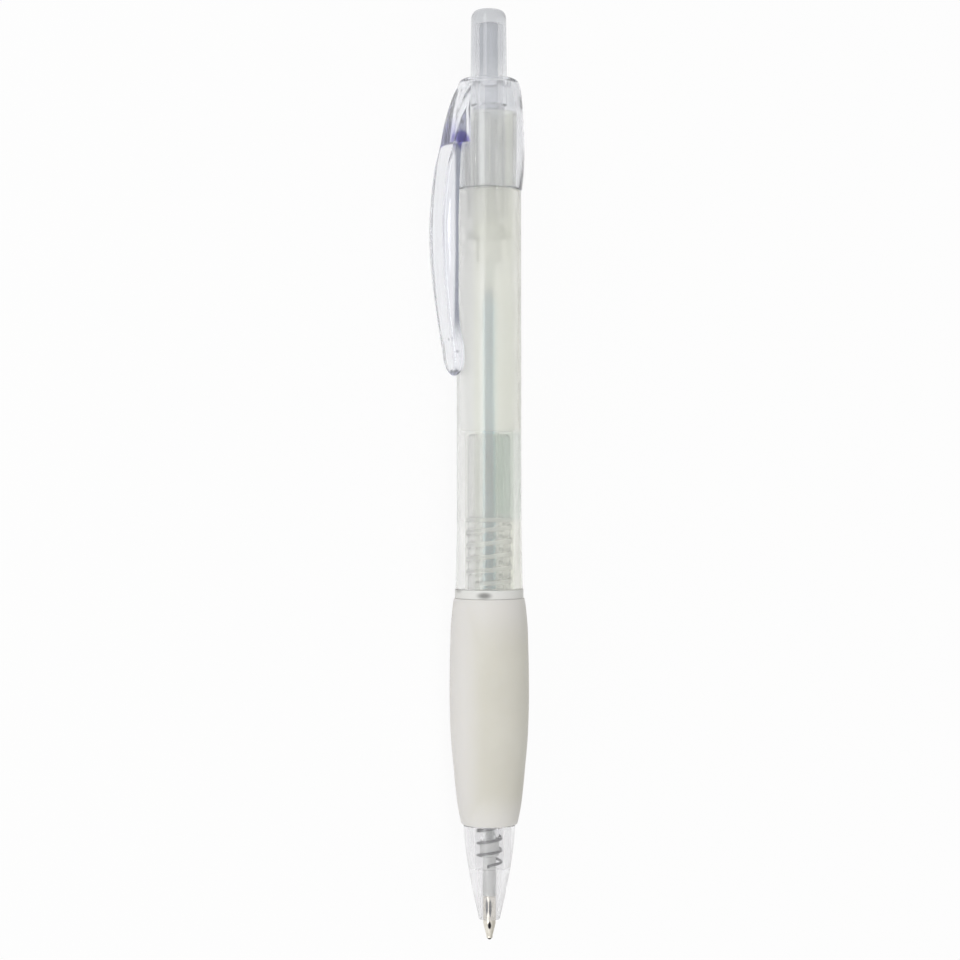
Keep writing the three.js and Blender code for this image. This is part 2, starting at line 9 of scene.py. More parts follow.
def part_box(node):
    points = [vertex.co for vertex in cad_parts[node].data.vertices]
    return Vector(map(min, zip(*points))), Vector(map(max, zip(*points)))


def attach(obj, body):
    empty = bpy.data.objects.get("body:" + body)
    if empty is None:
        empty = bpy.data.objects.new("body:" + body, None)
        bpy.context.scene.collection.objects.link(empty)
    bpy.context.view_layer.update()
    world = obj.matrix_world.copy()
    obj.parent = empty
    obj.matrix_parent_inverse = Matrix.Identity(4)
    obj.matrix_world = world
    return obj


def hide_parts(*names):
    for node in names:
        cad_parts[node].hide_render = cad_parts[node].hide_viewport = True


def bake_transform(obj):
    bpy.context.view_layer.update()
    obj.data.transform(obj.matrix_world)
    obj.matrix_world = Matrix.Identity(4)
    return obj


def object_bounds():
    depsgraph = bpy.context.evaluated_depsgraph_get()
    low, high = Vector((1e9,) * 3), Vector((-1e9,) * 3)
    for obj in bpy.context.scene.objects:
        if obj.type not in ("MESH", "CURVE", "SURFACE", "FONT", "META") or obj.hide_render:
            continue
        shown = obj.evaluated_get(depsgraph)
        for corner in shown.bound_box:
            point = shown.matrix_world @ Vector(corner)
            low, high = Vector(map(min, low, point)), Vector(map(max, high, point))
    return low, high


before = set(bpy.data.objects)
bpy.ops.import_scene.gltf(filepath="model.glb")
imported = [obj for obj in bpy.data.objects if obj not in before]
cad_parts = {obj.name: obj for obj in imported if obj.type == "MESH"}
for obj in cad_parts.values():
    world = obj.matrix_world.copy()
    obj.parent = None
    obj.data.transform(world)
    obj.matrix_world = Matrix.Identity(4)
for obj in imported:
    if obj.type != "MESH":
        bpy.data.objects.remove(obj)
CAD_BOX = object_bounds()

MM = 0.001
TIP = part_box("writing_ball")[1].x  # where the writing tip is along the row frame's X


def span(node):
    """Where a solid begins and ends along the pen, in millimetres behind the writing tip."""
    low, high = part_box(node)
    return (TIP - high.x) / MM, (TIP - low.x) / MM


NOSE_END, SPIGOT_BACK = span("front_section")
GRIP_FRONT, GRIP_BACK = span("grip_sleeve")
BARREL_FRONT, NECK_BACK = span("upper_barrel")
CLIP_FRONT, CAP_BACK = span("clip_cap")
PLUNGER_FRONT, BUTTON_BACK = span("push_button")
ROTOR_FRONT, ROTOR_PIN_BACK = span("ratchet_rotor")
TUBE_FRONT, TUBE_BACK = span("refill_tube")
INK_FRONT, INK_BACK = span("ink_column")
NOZZLE_FRONT, PLUG_BACK = span("point_adapter")
POINT_LIP, SHANK_BACK = span("point_housing")
SPRING_FRONT, SPRING_BACK = span("spring")

# Clear front section
NOSE_LENGTH = 14.2
NOSE_END_RADIUS = 1.55
NOSE_BASE_RADIUS = 3.9
NOSE_CURVE = 1.5  # how soon the cone fills out
NOSE_BORE = 1.2
SPRING_SEAT = NOSE_END + 7.75
SPRING_POCKET = 2.15
CORE_RADIUS = 3.55
SEAM = 0.03  # between the flange and its neighbours
FLANGE_FRONT = GRIP_BACK + SEAM
FLANGE_BACK = BARREL_FRONT - SEAM
FLANGE_RADIUS = 5.15
FLANGE_EDGE = 0.07
SPIGOT_RADIUS = 3.25
SPIGOT_CHAMFER = 0.4
THREAD_HEIGHT = 0.25
THREAD_PITCH = 2.0
THREAD_TURNS = 4.5
THREAD_START = BARREL_FRONT + 0.6
THREAD_CREST = 0.2  # half the ridge's width at its top
THREAD_FOOT = 0.6  # and at its bottom
THREAD_RUN_OUT = 0.15  # the part of a turn over which the ridge fades at its ends
COLLAR_FRONT = BARREL_FRONT + 10.1
COLLAR_BACK = COLLAR_FRONT + 0.6
SKIN_FRONT = FLANGE_BACK + 0.06  # the spigot's threaded skin
SKIN_BACK = COLLAR_FRONT - 0.1

# Grip sleeve
GRIP_RADIUS = 5.98
GRIP_BORE = 3.6
GRIP_FRONT_RADIUS = 4.23
GRIP_BACK_RADIUS = 5.32
GRIP_END_INSET = 0.02  # how much smaller the end faces are than the side's ends

# Frosted barrel
BARREL_RADIUS = 4.875
BARREL_FLARE = 0.175
BARREL_FLARE_LENGTH = 10.0
BARREL_BORE = 3.7
NECK_LENGTH = 11.5
BARREL_BACK = NECK_BACK - NECK_LENGTH
NECK_RADIUS = 4.2
RIB_COUNT = 4
RIB_WIDTH = 2.0
RIB_INNER = 2.6
RIB_INSET = 0.4
RIB_LENGTH = 10.5

# Clear cap and clip
CAP_FRONT = BARREL_BACK + 0.1
CAP_LENGTH = CAP_BACK - CAP_FRONT
CAP_MOUTH_RADIUS = 5.0
CAP_RADIUS = 5.37
CAP_WIDEST_PLACE = 0.35  # of the cap's length
CAP_SHOULDER_RADIUS = 4.8
CAP_SHOULDER_LENGTH = 1.4
CAP_TOP_FLAT = 3.9
CAP_BORE = 4.3
CAP_BORE_TOP = 3.5
CAP_HOLE = 2.91
CAP_TOP_THICKNESS = 0.7
CUT_OVERRUN = 0.9  # how far what cuts the cap stands out past it
SLOT_BACK = CAP_BACK - 10.0
CLIP_BOW = 9.2
CLIP_HALF_WIDTH = 2.6
CLIP_ROOT_HALF_WIDTH = 2.0
CLIP_ROOT_LENGTH = 7.0
CLIP_TIP_HALF_WIDTH = 2.0
CLIP_TIP_ROUND = 2.6
CLIP_TIP_LEAST = 0.12  # the half width at the very tip
CLIP_WIDEST = CLIP_FRONT + 17.8
CLIP_FOOT = 5.205
CLIP_CROWN = 0.12
CLIP_OUTER_EDGE = 0.75
CLIP_INNER_EDGE = 0.45
CLIP_MOST_EDGE = 0.46  # of the section's smaller side

# Clear push button
BUTTON_RADIUS = 2.65
BUTTON_TAPER = 0.11
BUTTON_EDGE = 1.1
BUTTON_EDGE_LENGTH = 1.54
BUTTON_TOP_THICKNESS = 2.0
BUTTON_BORE = 1.42
PLUNGER_RADIUS = 2.4
PLUNGER_STEP = NECK_BACK - RIB_INSET + 1.5
FIN_COUNT = 4
FIN_RADIUS = 3.3
FIN_WIDTH = 1.0
FIN_FRONT = PLUNGER_FRONT + 0.8
FIN_BACK = CAP_BACK - CAP_TOP_THICKNESS - 5.8
TEETH = 8
TOOTH_HEIGHT = 0.35

# Ratchet rotor
ROTOR_STEM_RADIUS = 1.85
ROTOR_STEM_BACK = ROTOR_FRONT + 3.3
ROTOR_BACK = ROTOR_FRONT + 5.4
ROTOR_PIN_RADIUS = 1.27

# Refill
TUBE_RADIUS = 1.45
TUBE_BORE = 0.95
INK_RADIUS = 0.9
INK_DIP = 0.35  # of the surface at the column's end
EAR_COUNT = 2
EAR_FRONT = SPRING_BACK + 0.3
EAR_LENGTH = 1.6
EAR_WIDTH = 0.8
EAR_RADIUS = 1.95
NOZZLE_RADIUS = 0.97
ADAPTER_COLLAR_FRONT = NOZZLE_FRONT + 5.8
ADAPTER_COLLAR_BACK = ADAPTER_COLLAR_FRONT + 2.4
SHANK_ROOM_BACK = NOZZLE_FRONT + 3.7
POINT_BACK = POINT_LIP + 6.5
POINT_RADIUS = 0.95
POINT_LIP_RADIUS = 0.47
POINT_CONE_BACK = POINT_LIP + 2.2
SHANK_RADIUS = 0.76
SHANK_BORE = SHANK_RADIUS + 0.05
INK_CHANNEL = 0.3
SOCKET_RADIUS = 0.4
SOCKET_BACK = POINT_LIP + 0.5
BALL_RADIUS = 0.35

# Spring
WIRE_RADIUS = 0.2
COIL_RADIUS = 1.75
COIL_TURNS = 11
COIL_START = math.radians(55)  # round from the clip, where the wire's front end is

# Mesh fineness and tolerances
AROUND = 128  # facets round a large piece
AROUND_SMALL = 64
ROUNDING_STEPS = 5
EDGE_STEPS = 14  # along the button's rounded edge
SHOULDER_STEPS = 12
NOSE_STEPS = 36
SKIN_STEPS = 126
GRIP_STEPS = 60
FLARE_STEPS = 10
CAP_STEPS = 40
CLIP_TIP_STEPS = 20
CLIP_CORNER_STEPS = 7
MENISCUS_STEPS = 8
WIRE_SIDES = 14
WIRE_STEPS = 40  # a turn of the spring
BLOCK_EDGE = 0.12  # the rounding of a block's edges
MOST_CUT = 0.45  # how much of a side a corner's rounding may take
WELD = 1e-4  # points closer than this are joined
SAME = 1e-6  # sizes closer than this are equal

# The pen lies on its grip and on the clip's outer edge
clip_edge_reach = math.hypot(CLIP_BOW, CLIP_HALF_WIDTH)
CLIP_DROP = math.asin(GRIP_RADIUS / clip_edge_reach) - math.atan2(CLIP_HALF_WIDTH, CLIP_BOW)
CLIP_WAY = Vector((0, -math.cos(CLIP_DROP), -math.sin(CLIP_DROP)))
BUTTON_WAY = Vector((-1, 0, 0))
ACROSS = BUTTON_WAY.cross(CLIP_WAY)
LIT_ANGLE = math.radians(30)  # from the clip to the side that is paler in the photo
LIT_WAY = CLIP_WAY * math.cos(LIT_ANGLE) - ACROSS * math.sin(LIT_ANGLE)
grip_low, grip_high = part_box("grip_sleeve")
AXIS = Vector((TIP, (grip_low.y + grip_high.y) / 2, (grip_low.z + grip_high.z) / 2))


def place_in_row():
    """The matrix from pen space, in millimetres, to the row frame, in metres."""
    turn = Matrix((CLIP_WAY, ACROSS, BUTTON_WAY)).transposed().to_4x4()
    return Matrix.Translation(AXIS) @ turn @ Matrix.Scale(MM, 4)


def pen_place(along_clip, across, z):
    """A place in the row frame, in metres, from one in pen space, in millimetres."""
    return place_in_row() @ Vector((along_clip, across, z))


# Shapes


def smooth_through(*stations):
    """A smooth curve through (place, value) stations that never overshoots them."""
    x, y = (np.array(c, float) for c in zip(*sorted(stations)))
    h = np.diff(x)
    slope = np.diff(y) / h
    inner = np.zeros(len(x))
    for i in range(1, len(x) - 1):
        a, b = slope[i - 1], slope[i]
        if a * b > 0:
            wa, wb = 2 * h[i] + h[i - 1], h[i] + 2 * h[i - 1]
            inner[i] = (wa + wb) / (wa / a + wb / b)
    inner[0], inner[-1] = slope[0], slope[-1]

    def at(place):
        place = min(max(place, x[0]), x[-1])
        i = min(int(np.searchsorted(x, place, side="right")) - 1, len(h) - 1)
        t = (place - x[i]) / h[i]
        return float(
            y[i] * (1 + 2 * t) * (1 - t) ** 2
            + inner[i] * h[i] * t * (1 - t) ** 2
            + y[i + 1] * t * t * (3 - 2 * t)
            - inner[i + 1] * h[i] * t * t * (1 - t)
        )

    return at


def bend(a, b, c, steps):
    """Points along the curve from a to c that leans towards b."""
    return [
        tuple((1 - t) ** 2 * p + 2 * t * (1 - t) * q + t * t * r for p, q, r in zip(a, b, c))
        for t in (i / steps for i in range(steps + 1))
    ]


def rounded(*corners, closed=True):
    """An outline of (radius, z) points through corners. A corner is (radius, z), or
    (radius, z, cut) where it is cut back that far on both sides and rounded."""
    points = []
    count = len(corners)
    for i, corner in enumerate(corners):
        here = Vector(corner[:2])
        cut = corner[2] if len(corner) > 2 else 0
        inside = closed or 0 < i < count - 1
        if not cut or not inside:
            points.append(tuple(here))
            continue
        ends = []
        for other in (corners[i - 1], corners[(i + 1) % count]):
            way = Vector(other[:2]) - here
            ends.append(here + way.normalized() * min(cut, way.length * MOST_CUT))
        points += bend(ends[0], here, ends[1], ROUNDING_STEPS)
    return points


def turned(outline, around=AROUND, shape=None):
    """A turned body: the outline is a closed loop of (radius, z), or runs from axis to axis.
    shape(radius, z, angle) gives the (radius, z) of a form that isn't quite turned."""
    mesh = bmesh.new()
    on_axis = outline[0][0] == 0 and outline[-1][0] == 0
    rings = []
    for radius, z in outline:
        if radius == 0:
            rings.append([mesh.verts.new((0, 0, z))])
            continue
        ring = []
        for k in range(around):
            angle = 2 * math.pi * k / around
            r, h = shape(radius, z, angle) if shape else (radius, z)
            ring.append(mesh.verts.new((r * math.cos(angle), r * math.sin(angle), h)))
        rings.append(ring)
    pairs = list(zip(rings, rings[1:])) + ([] if on_axis else [(rings[-1], rings[0])])
    for a, b in pairs:
        for k in range(around):
            n = (k + 1) % around
            if len(a) == 1:
                mesh.faces.new((a[0], b[k], b[n]))
            elif len(b) == 1:
                mesh.faces.new((a[k], a[n], b[0]))
            else:
                mesh.faces.new((a[k], a[n], b[n], b[k]))
    return mesh


def lofted(rings):
    """A skin through rings of equal size, closed at both ends."""
    mesh = bmesh.new()
    made = [[mesh.verts.new(p) for p in ring] for ring in rings]
    size = len(rings[0])
    for a, b in zip(made, made[1:]):
        for k in range(size):
            n = (k + 1) % size
            mesh.faces.new((a[k], a[n], b[n], b[k]))
    mesh.faces.new(made[0])
    mesh.faces.new(list(reversed(made[-1])))
    return mesh


def block(inner, outer, width, front, back, angle):
    """A block that stands out from the axis at an angle, with rounded edges."""
    mesh = bmesh.new()
    bmesh.ops.create_cube(mesh, size=1)
    bmesh.ops.scale(mesh, vec=(outer - inner, width, back - front), verts=mesh.verts)
    bmesh.ops.translate(mesh, vec=((outer + inner) / 2, 0, (front + back) / 2), verts=mesh.verts)
    bmesh.ops.bevel(
        mesh, geom=mesh.edges[:], offset=BLOCK_EDGE, segments=3, profile=0.5, affect="EDGES"
    )
    bmesh.ops.rotate(mesh, matrix=Matrix.Rotation(angle, 3, "Z"), verts=mesh.verts)
    return mesh


def blocks_round(count, start, *size):
    """Equal blocks, set evenly round the axis from a starting angle."""
    return [block(*size, start + i * 2 * math.pi / count) for i in range(count)]


def toothed(end, depth):
    """A shape for turned(): ratchet teeth of that signed depth on the face at z = end."""

    def shape(radius, z, angle):
        if abs(z - end) > SAME or radius == 0:
            return radius, z
        lap = angle * TEETH / (2 * math.pi) % 1
        return radius, z + depth * abs(2 * lap - 1)

    return shape


def as_object(mesh, name):
    bmesh.ops.recalc_face_normals(mesh, faces=mesh.faces)
    data = bpy.data.meshes.new(name)
    mesh.to_mesh(data)
    mesh.free()
    thing = bpy.data.objects.new(name, data)
    bpy.context.scene.collection.objects.link(thing)
    return thing


def combine(base, others, operation="UNION"):
    """base with the other meshes joined to it or cut from it."""
    thing = as_object(base, "combined")
    parts = [as_object(other, f"part_{i}") for i, other in enumerate(others)]
    for part in parts:
        step = thing.modifiers.new("step", "BOOLEAN")
        step.operation = operation
        step.solver = "MANIFOLD"
        step.object = part
    shape = thing.evaluated_get(bpy.context.evaluated_depsgraph_get())
    result = bmesh.new()
    result.from_mesh(shape.to_mesh())
    shape.to_mesh_clear()
    for used in [thing, *parts]:
        data = used.data
        bpy.data.objects.remove(used)
        bpy.data.meshes.remove(data)
    bmesh.ops.remove_doubles(result, verts=result.verts, dist=WELD)
    return result


def piece(name, mesh, finish, node, body=None, sharp=35):
    """One visible piece: put in the row frame and finished. It stands for its CAD node and
    rides on its body. Edges over the sharp angle, in degrees, aren't smoothed."""
    mesh.transform(place_in_row())
    thing = as_object(mesh, name)
    for face in thing.data.polygons:
        face.use_smooth = True
    thing.data.set_sharp_from_angle(angle=math.radians(sharp))
    thing.data.materials.append(MATERIALS[finish])
    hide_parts(node)
    if body:
        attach(thing, body)
    return thing


# Materials
#
# A mask is a number from 0 to 1 over the surface. It comes from places on the piece as it
# lies at rest, so it moves with the piece.

# Colours, as linear red, green and blue
WHITE = (1.0, 1.0, 1.0)
SHADE = (0.9, 0.9, 0.9)  # what clear plastic lets through to what is inside it
CLEAR, CLEAR_PATCH, CLEAR_DEPTH = (0.93, 0.935, 0.935), (0.90, 0.905, 0.91), (0.4, 0.45, 0.5)
NOSE_GREY = (0.885, 0.88, 0.887)
STEM_GREY = (0.645, 0.657, 0.68)
BUTTON_TOP_GREY = (0.60, 0.61, 0.63)
RUBBED_GREY = (0.72, 0.72, 0.695)
# Painted shade: a dark spot where the core shows through the flange, a paler one at its seam
DARK_SHADE_SPOT, PALE_SHADE_SPOT = (0.24, 0.24, 0.23), (0.46, 0.46, 0.44)
# Painted green shade over the spigot, on its side away from the light
SPIGOT_SHADE_GREEN = (0.76, 0.83, 0.79)
CAP, CAP_PATCH, CAP_DEPTH = (0.945, 0.95, 0.955), (0.91, 0.915, 0.925), (0.3, 0.36, 0.75)
# Painted shade on the cap's edge away from the light
CAP_SHADED_EDGE_GREY = (0.89, 0.895, 0.905)
# Painted shade on the cap's shoulder, on its side away from the light
SHOULDER_SHADE_GREY = (0.815, 0.823, 0.835)
# Painted reflection: violet where the clip's root ends at the slot
ROOT_REFLECTION_VIOLET = (0.56, 0.55, 0.83)
# Painted dark reflection in the slot's corners
SLOT_REFLECTION_VIOLET = (0.10, 0.08, 0.36)
CLIP_GREY = (0.895, 0.90, 0.91)
# Painted shade and dark reflection along the clip's inner edge
CLIP_EDGE_SHADE_NAVY = (0.16, 0.175, 0.215)
CLIP_SPECK = (0.35, 0.35, 0.38)
# LIT_FROST is painted light on the barrel's lit side
FROST, FROST_PATCH, LIT_FROST = (0.967, 0.972, 0.912), (0.983, 0.988, 0.942), (0.99, 0.99, 0.975)
# Painted green shade on the barrel over the spigot, away from the light
FROST_SHADE_GREEN = (0.90, 0.93, 0.885)
RUBBER, RUBBER_PATCH = (0.589, 0.574, 0.509), (0.622, 0.608, 0.545)
# PALE_RUBBER is painted light on the grip's lit side, and the colour of its paler ends
PALE_RUBBER = (0.665, 0.65, 0.625)
PLUG, PLUG_PATCH, ROTOR = (0.76, 0.77, 0.75), (0.82, 0.83, 0.81), (0.94, 0.95, 0.93)
TUBE, TUBE_PATCH = (0.86, 0.89, 0.88), (0.91, 0.93, 0.92)
FILM, THICK_FILM = (0.64, 0.88, 0.96), (0.43, 0.80, 0.97)
INK, INK_PATCH = (0.06, 0.34, 0.58), (0.09, 0.40, 0.68)
NICKEL, NICKEL_PATCH = (0.80, 0.765, 0.69), (0.70, 0.665, 0.59)
# Painted reflection: dark lines on the metal point, and a dark spot near the ball
DARK_SPOT_AND_REFLECTION = (0.02, 0.02, 0.025)
CARBIDE, CARBIDE_PATCH = (0.05, 0.05, 0.05), (0.02, 0.02, 0.025)
STEEL, STEEL_PATCH = (0.16, 0.16, 0.165), (0.05, 0.05, 0.055)
PAPER, PAPER_PATCH = (0.93, 0.93, 0.93), (0.95, 0.95, 0.95)
STUDIO_DIM, STUDIO_BRIGHT = (0.62, 0.615, 0.60), (1.15, 1.15, 1.16)

CLEAR_HAZE = 0.08  # the share of light that clear plastic scatters
CAP_HAZE = 0.09
RUBBED_CLEARNESS = 0.08  # what shines through on the flange
CREST_CLEARNESS = 0.5  # and on the thread's crests
THICK_FILM_BACK = COLLAR_FRONT + 15  # the ink's film is thicker in front of this
MIX_A, MIX_B, MIX_RESULT = 6, 7, 2  # a Mix node's colour sockets


def new_material(name):
    made = bpy.data.materials.new(name)
    made.use_nodes = True
    tree = made.node_tree
    return made, tree, tree.nodes["Principled BSDF"]


def set_inputs(node, inputs):
    """Each input is linked where it is given a socket, and set where it is given a value."""
    for key, value in inputs.items():
        if hasattr(value, "is_output"):
            node.id_data.links.new(value, node.inputs[key])
        else:
            node.inputs[key].default_value = value


def node_of(tree, kind, inputs=None, **settings):
    made = tree.nodes.new(kind)
    for key, value in settings.items():
        setattr(made, key, value)
    set_inputs(made, inputs or {})
    return made


def noise(tree, coordinate, scale, detail=3.0):
    inputs = {"Vector": coordinate, "Scale": scale, "Detail": detail}
    return node_of(tree, "ShaderNodeTexNoise", inputs).outputs["Fac"]


def ramp(tree, value, low, high, to_low=0.0, to_high=1.0):
    """to_low up to low and to_high from high on, with a smooth step between."""
    inputs = {
        "Value": value, "From Min": low, "From Max": high, "To Min": to_low, "To Max": to_high
    }
    made = node_of(tree, "ShaderNodeMapRange", inputs, interpolation_type="SMOOTHSTEP")
    return made.outputs["Result"]


def fall(tree, value, low, high):
    """1 up to low and 0 from high on."""
    return ramp(tree, value, low, high, 1, 0)


def mottle(tree, place, scale, detail=3.0, low=0.0, high=1.0):
    """Soft patches of two values."""
    return ramp(tree, noise(tree, place, scale, detail), 0.3, 0.7, low, high)


def math_of(tree, operation, *values):
    """Numbers joined by an operation, from left to right."""
    result = values[0]
    for value in values[1:]:
        made = node_of(tree, "ShaderNodeMath", {0: result, 1: value}, operation=operation)
        result = made.outputs[0]
    return result


def product(tree, *values):
    return math_of(tree, "MULTIPLY", *values)


def band(tree, value, rise, drop):
    """1 between two edges. rise and drop are where each edge begins and ends."""
    return product(tree, ramp(tree, value, *rise), fall(tree, value, *drop))


def mixed(tree, factor, a, b):
    """Colour a where the factor is 0 and colour b where it is 1."""
    a, b = (c if hasattr(c, "is_output") else (*c, 1) for c in (a, b))
    made = node_of(tree, "ShaderNodeMix", {0: factor, MIX_A: a, MIX_B: b}, data_type="RGBA")
    return made.outputs[MIX_RESULT]


def painted(tree, colour, *marks):
    """A colour under marks that are laid on in turn, each a mask and a colour."""
    for mask, mark in marks:
        colour = mixed(tree, mask, colour, mark)
    return colour


def pen_coordinate(tree):
    """Places on the piece in metres, as the piece lies at rest."""
    return node_of(tree, "ShaderNodeTexCoord").outputs["Object"]


def scaled(tree, coordinate, scale, shift=(0, 0, 0)):
    inputs = {"Vector": coordinate, "Location": shift, "Scale": scale}
    return node_of(tree, "ShaderNodeMapping", inputs).outputs["Vector"]


def measure(tree, operation, *vectors):
    """The number that an operation on vectors gives."""
    inputs = dict(enumerate(vectors))
    return node_of(tree, "ShaderNodeVectorMath", inputs, operation=operation).outputs["Value"]


def near_to(tree, coordinate, place, inside, outside):
    """1 within the inside distance of a place, 0 from the outside one on, in millimetres."""
    return fall(tree, measure(tree, "DISTANCE", coordinate, place), inside * MM, outside * MM)


def smear(tree, coordinate, place, squeeze, inside, outside):
    """near_to() for a spot that is squeezed along the pen, or drawn out if squeeze is under 1."""
    scale = Vector((squeeze, 1, 1))
    return near_to(tree, scaled(tree, coordinate, scale), place * scale, inside, outside)


def out_from_axis(tree, coordinate, way):
    """How far a place is from the pen's axis in one direction, in millimetres."""
    reach = measure(tree, "DOT_PRODUCT", coordinate, way)
    return product(tree, math_of(tree, "SUBTRACT", reach, AXIS.dot(way)), 1 / MM)


def behind_tip(tree, coordinate):
    """How far a place is behind the writing tip, in millimetres."""
    return out_from_axis(tree, coordinate, BUTTON_WAY)


def axis_distance(tree, coordinate):
    """How far a place is from the pen's axis, in millimetres."""
    shift = Vector((0, -AXIS.y, -AXIS.z)) / MM
    return measure(tree, "LENGTH", scaled(tree, coordinate, (0, 1 / MM, 1 / MM), shift))


def bump(tree, height, strength, distance):
    """Relief of a height. The distance is in metres."""
    inputs = {"Height": height, "Strength": strength, "Distance": distance}
    return node_of(tree, "ShaderNodeBump", inputs).outputs["Normal"]


def use_mix(tree, factor, first, second):
    """The surface is the first shader where the factor is 0 and the second where it is 1."""
    inputs = {0: factor, 1: first.outputs[0], 2: second.outputs[0]}
    both = node_of(tree, "ShaderNodeMixShader", inputs)
    set_inputs(tree.nodes["Material Output"], {"Surface": both.outputs[0]})


def rays(tree, *kinds):
    """1 for rays of any of these kinds."""
    path = node_of(tree, "ShaderNodeLightPath")
    return math_of(tree, "MAXIMUM", *(path.outputs[kind] for kind in kinds))


def let_lamps_in(tree, shader):
    """Lamps shine through clear plastic onto what is inside it."""
    through = node_of(tree, "ShaderNodeBsdfTransparent", {"Color": (*SHADE, 1)})
    use_mix(tree, rays(tree, "Is Shadow Ray"), shader, through)


def clear_plastic(name, light, patch, ior, haze, depth_colour, density):
    """Polished clear plastic: faint flow marks from moulding, a little handling haze and a
    tint that grows with depth. Gives its colour and its polish too, for what lies on them."""
    made, tree, shader = new_material(name)
    place = pen_coordinate(tree)
    colour = mixed(tree, ramp(tree, noise(tree, place, 260), 0.35, 0.7), light, patch)
    polish = ramp(tree, noise(tree, place, 1500, 4), 0.45, 0.8, 0.03, 0.08)
    flow_marks = noise(tree, scaled(tree, place, (0.25, 1, 1)), 500, 1)
    look = {
        "Base Color": colour,
        "Roughness": polish,
        "IOR": ior,
        "Transmission Weight": 1 - haze,
        "Normal": bump(tree, flow_marks, 0.06, 0.00002),
    }
    set_inputs(shader, look)
    inputs = {"Color": (*depth_colour, 1), "Density": density}
    depth = node_of(tree, "ShaderNodeVolumeAbsorption", inputs)
    set_inputs(tree.nodes["Material Output"], {"Volume": depth.outputs[0]})
    let_lamps_in(tree, shader)
    return made, tree, shader, colour, polish


def button_and_nose_plastic(name):
    """Clear plastic: greyer in the nose and towards the button's top, dulled on the flange
    that rubs on the barrel, with spots of painted shade on it, and a painted green shade
    over the spigot, away from the light."""
    made, tree, shader, colour, polish = clear_plastic(
        name, CLEAR, CLEAR_PATCH, ior=1.5, haze=CLEAR_HAZE, depth_colour=CLEAR_DEPTH, density=10
    )
    place = pen_coordinate(tree)
    back = behind_tip(tree, place)
    from_axis = axis_distance(tree, place)
    lit = out_from_axis(tree, place, LIT_WAY)
    spigot_end = fall(tree, back, SPIGOT_BACK, SPIGOT_BACK + 1)
    stem = product(
        tree,
        ramp(tree, back, BARREL_BACK - 2, BARREL_BACK + 2),
        fall(tree, from_axis, BUTTON_RADIUS + 0.05, BUTTON_RADIUS + 0.15),
    )
    flange = band(tree, back, (FLANGE_FRONT - 0.3, FLANGE_FRONT), (FLANGE_BACK, FLANGE_BACK + 0.3))
    # Painted shade: green over the spigot, on the side away from the light
    unlit_spigot = product(
        tree, fall(tree, lit, -0.9, 0.3), ramp(tree, back, COLLAR_BACK, COLLAR_BACK + 1), spigot_end
    )
    crest = product(
        tree,
        ramp(tree, from_axis, SPIGOT_RADIUS + 0.12, SPIGOT_RADIUS + THREAD_HEIGHT),
        ramp(tree, back, FLANGE_BACK + 0.3, FLANGE_BACK + 0.6),
        spigot_end,
    )
    # Painted shade: a dark spot where the core shows through the flange, a paler one at its seam
    front_flange_shade = pen_place(3.2, 4.05, (FLANGE_FRONT + FLANGE_BACK) / 2 - 0.1)
    side_seam_shade = pen_place(5.1, -0.4, FLANGE_BACK)
    colour = painted(
        tree,
        colour,
        (fall(tree, back, FLANGE_FRONT - 1.0, FLANGE_FRONT), NOSE_GREY),
        (stem, STEM_GREY),
        (ramp(tree, back, BUTTON_BACK - 3, BUTTON_BACK - 1), BUTTON_TOP_GREY),
        (flange, RUBBED_GREY),
        (unlit_spigot, SPIGOT_SHADE_GREEN),
        (product(tree, smear(tree, place, front_flange_shade, 2.2, 0.3, 1.6), flange), DARK_SHADE_SPOT),
        (product(tree, smear(tree, place, side_seam_shade, 2.2, 0.3, 1.6), flange), PALE_SHADE_SPOT),
    )
    dull = math_of(tree, "MAXIMUM", polish, product(tree, flange, 0.5))
    unrubbed = ramp(tree, flange, 0, 1, 1 - CLEAR_HAZE, RUBBED_CLEARNESS)
    clear = product(tree, unrubbed, ramp(tree, crest, 0, 1, 1, CREST_CLEARNESS))
    look = {"Base Color": colour, "Roughness": dull, "Transmission Weight": clear}
    set_inputs(shader, look)
    return made


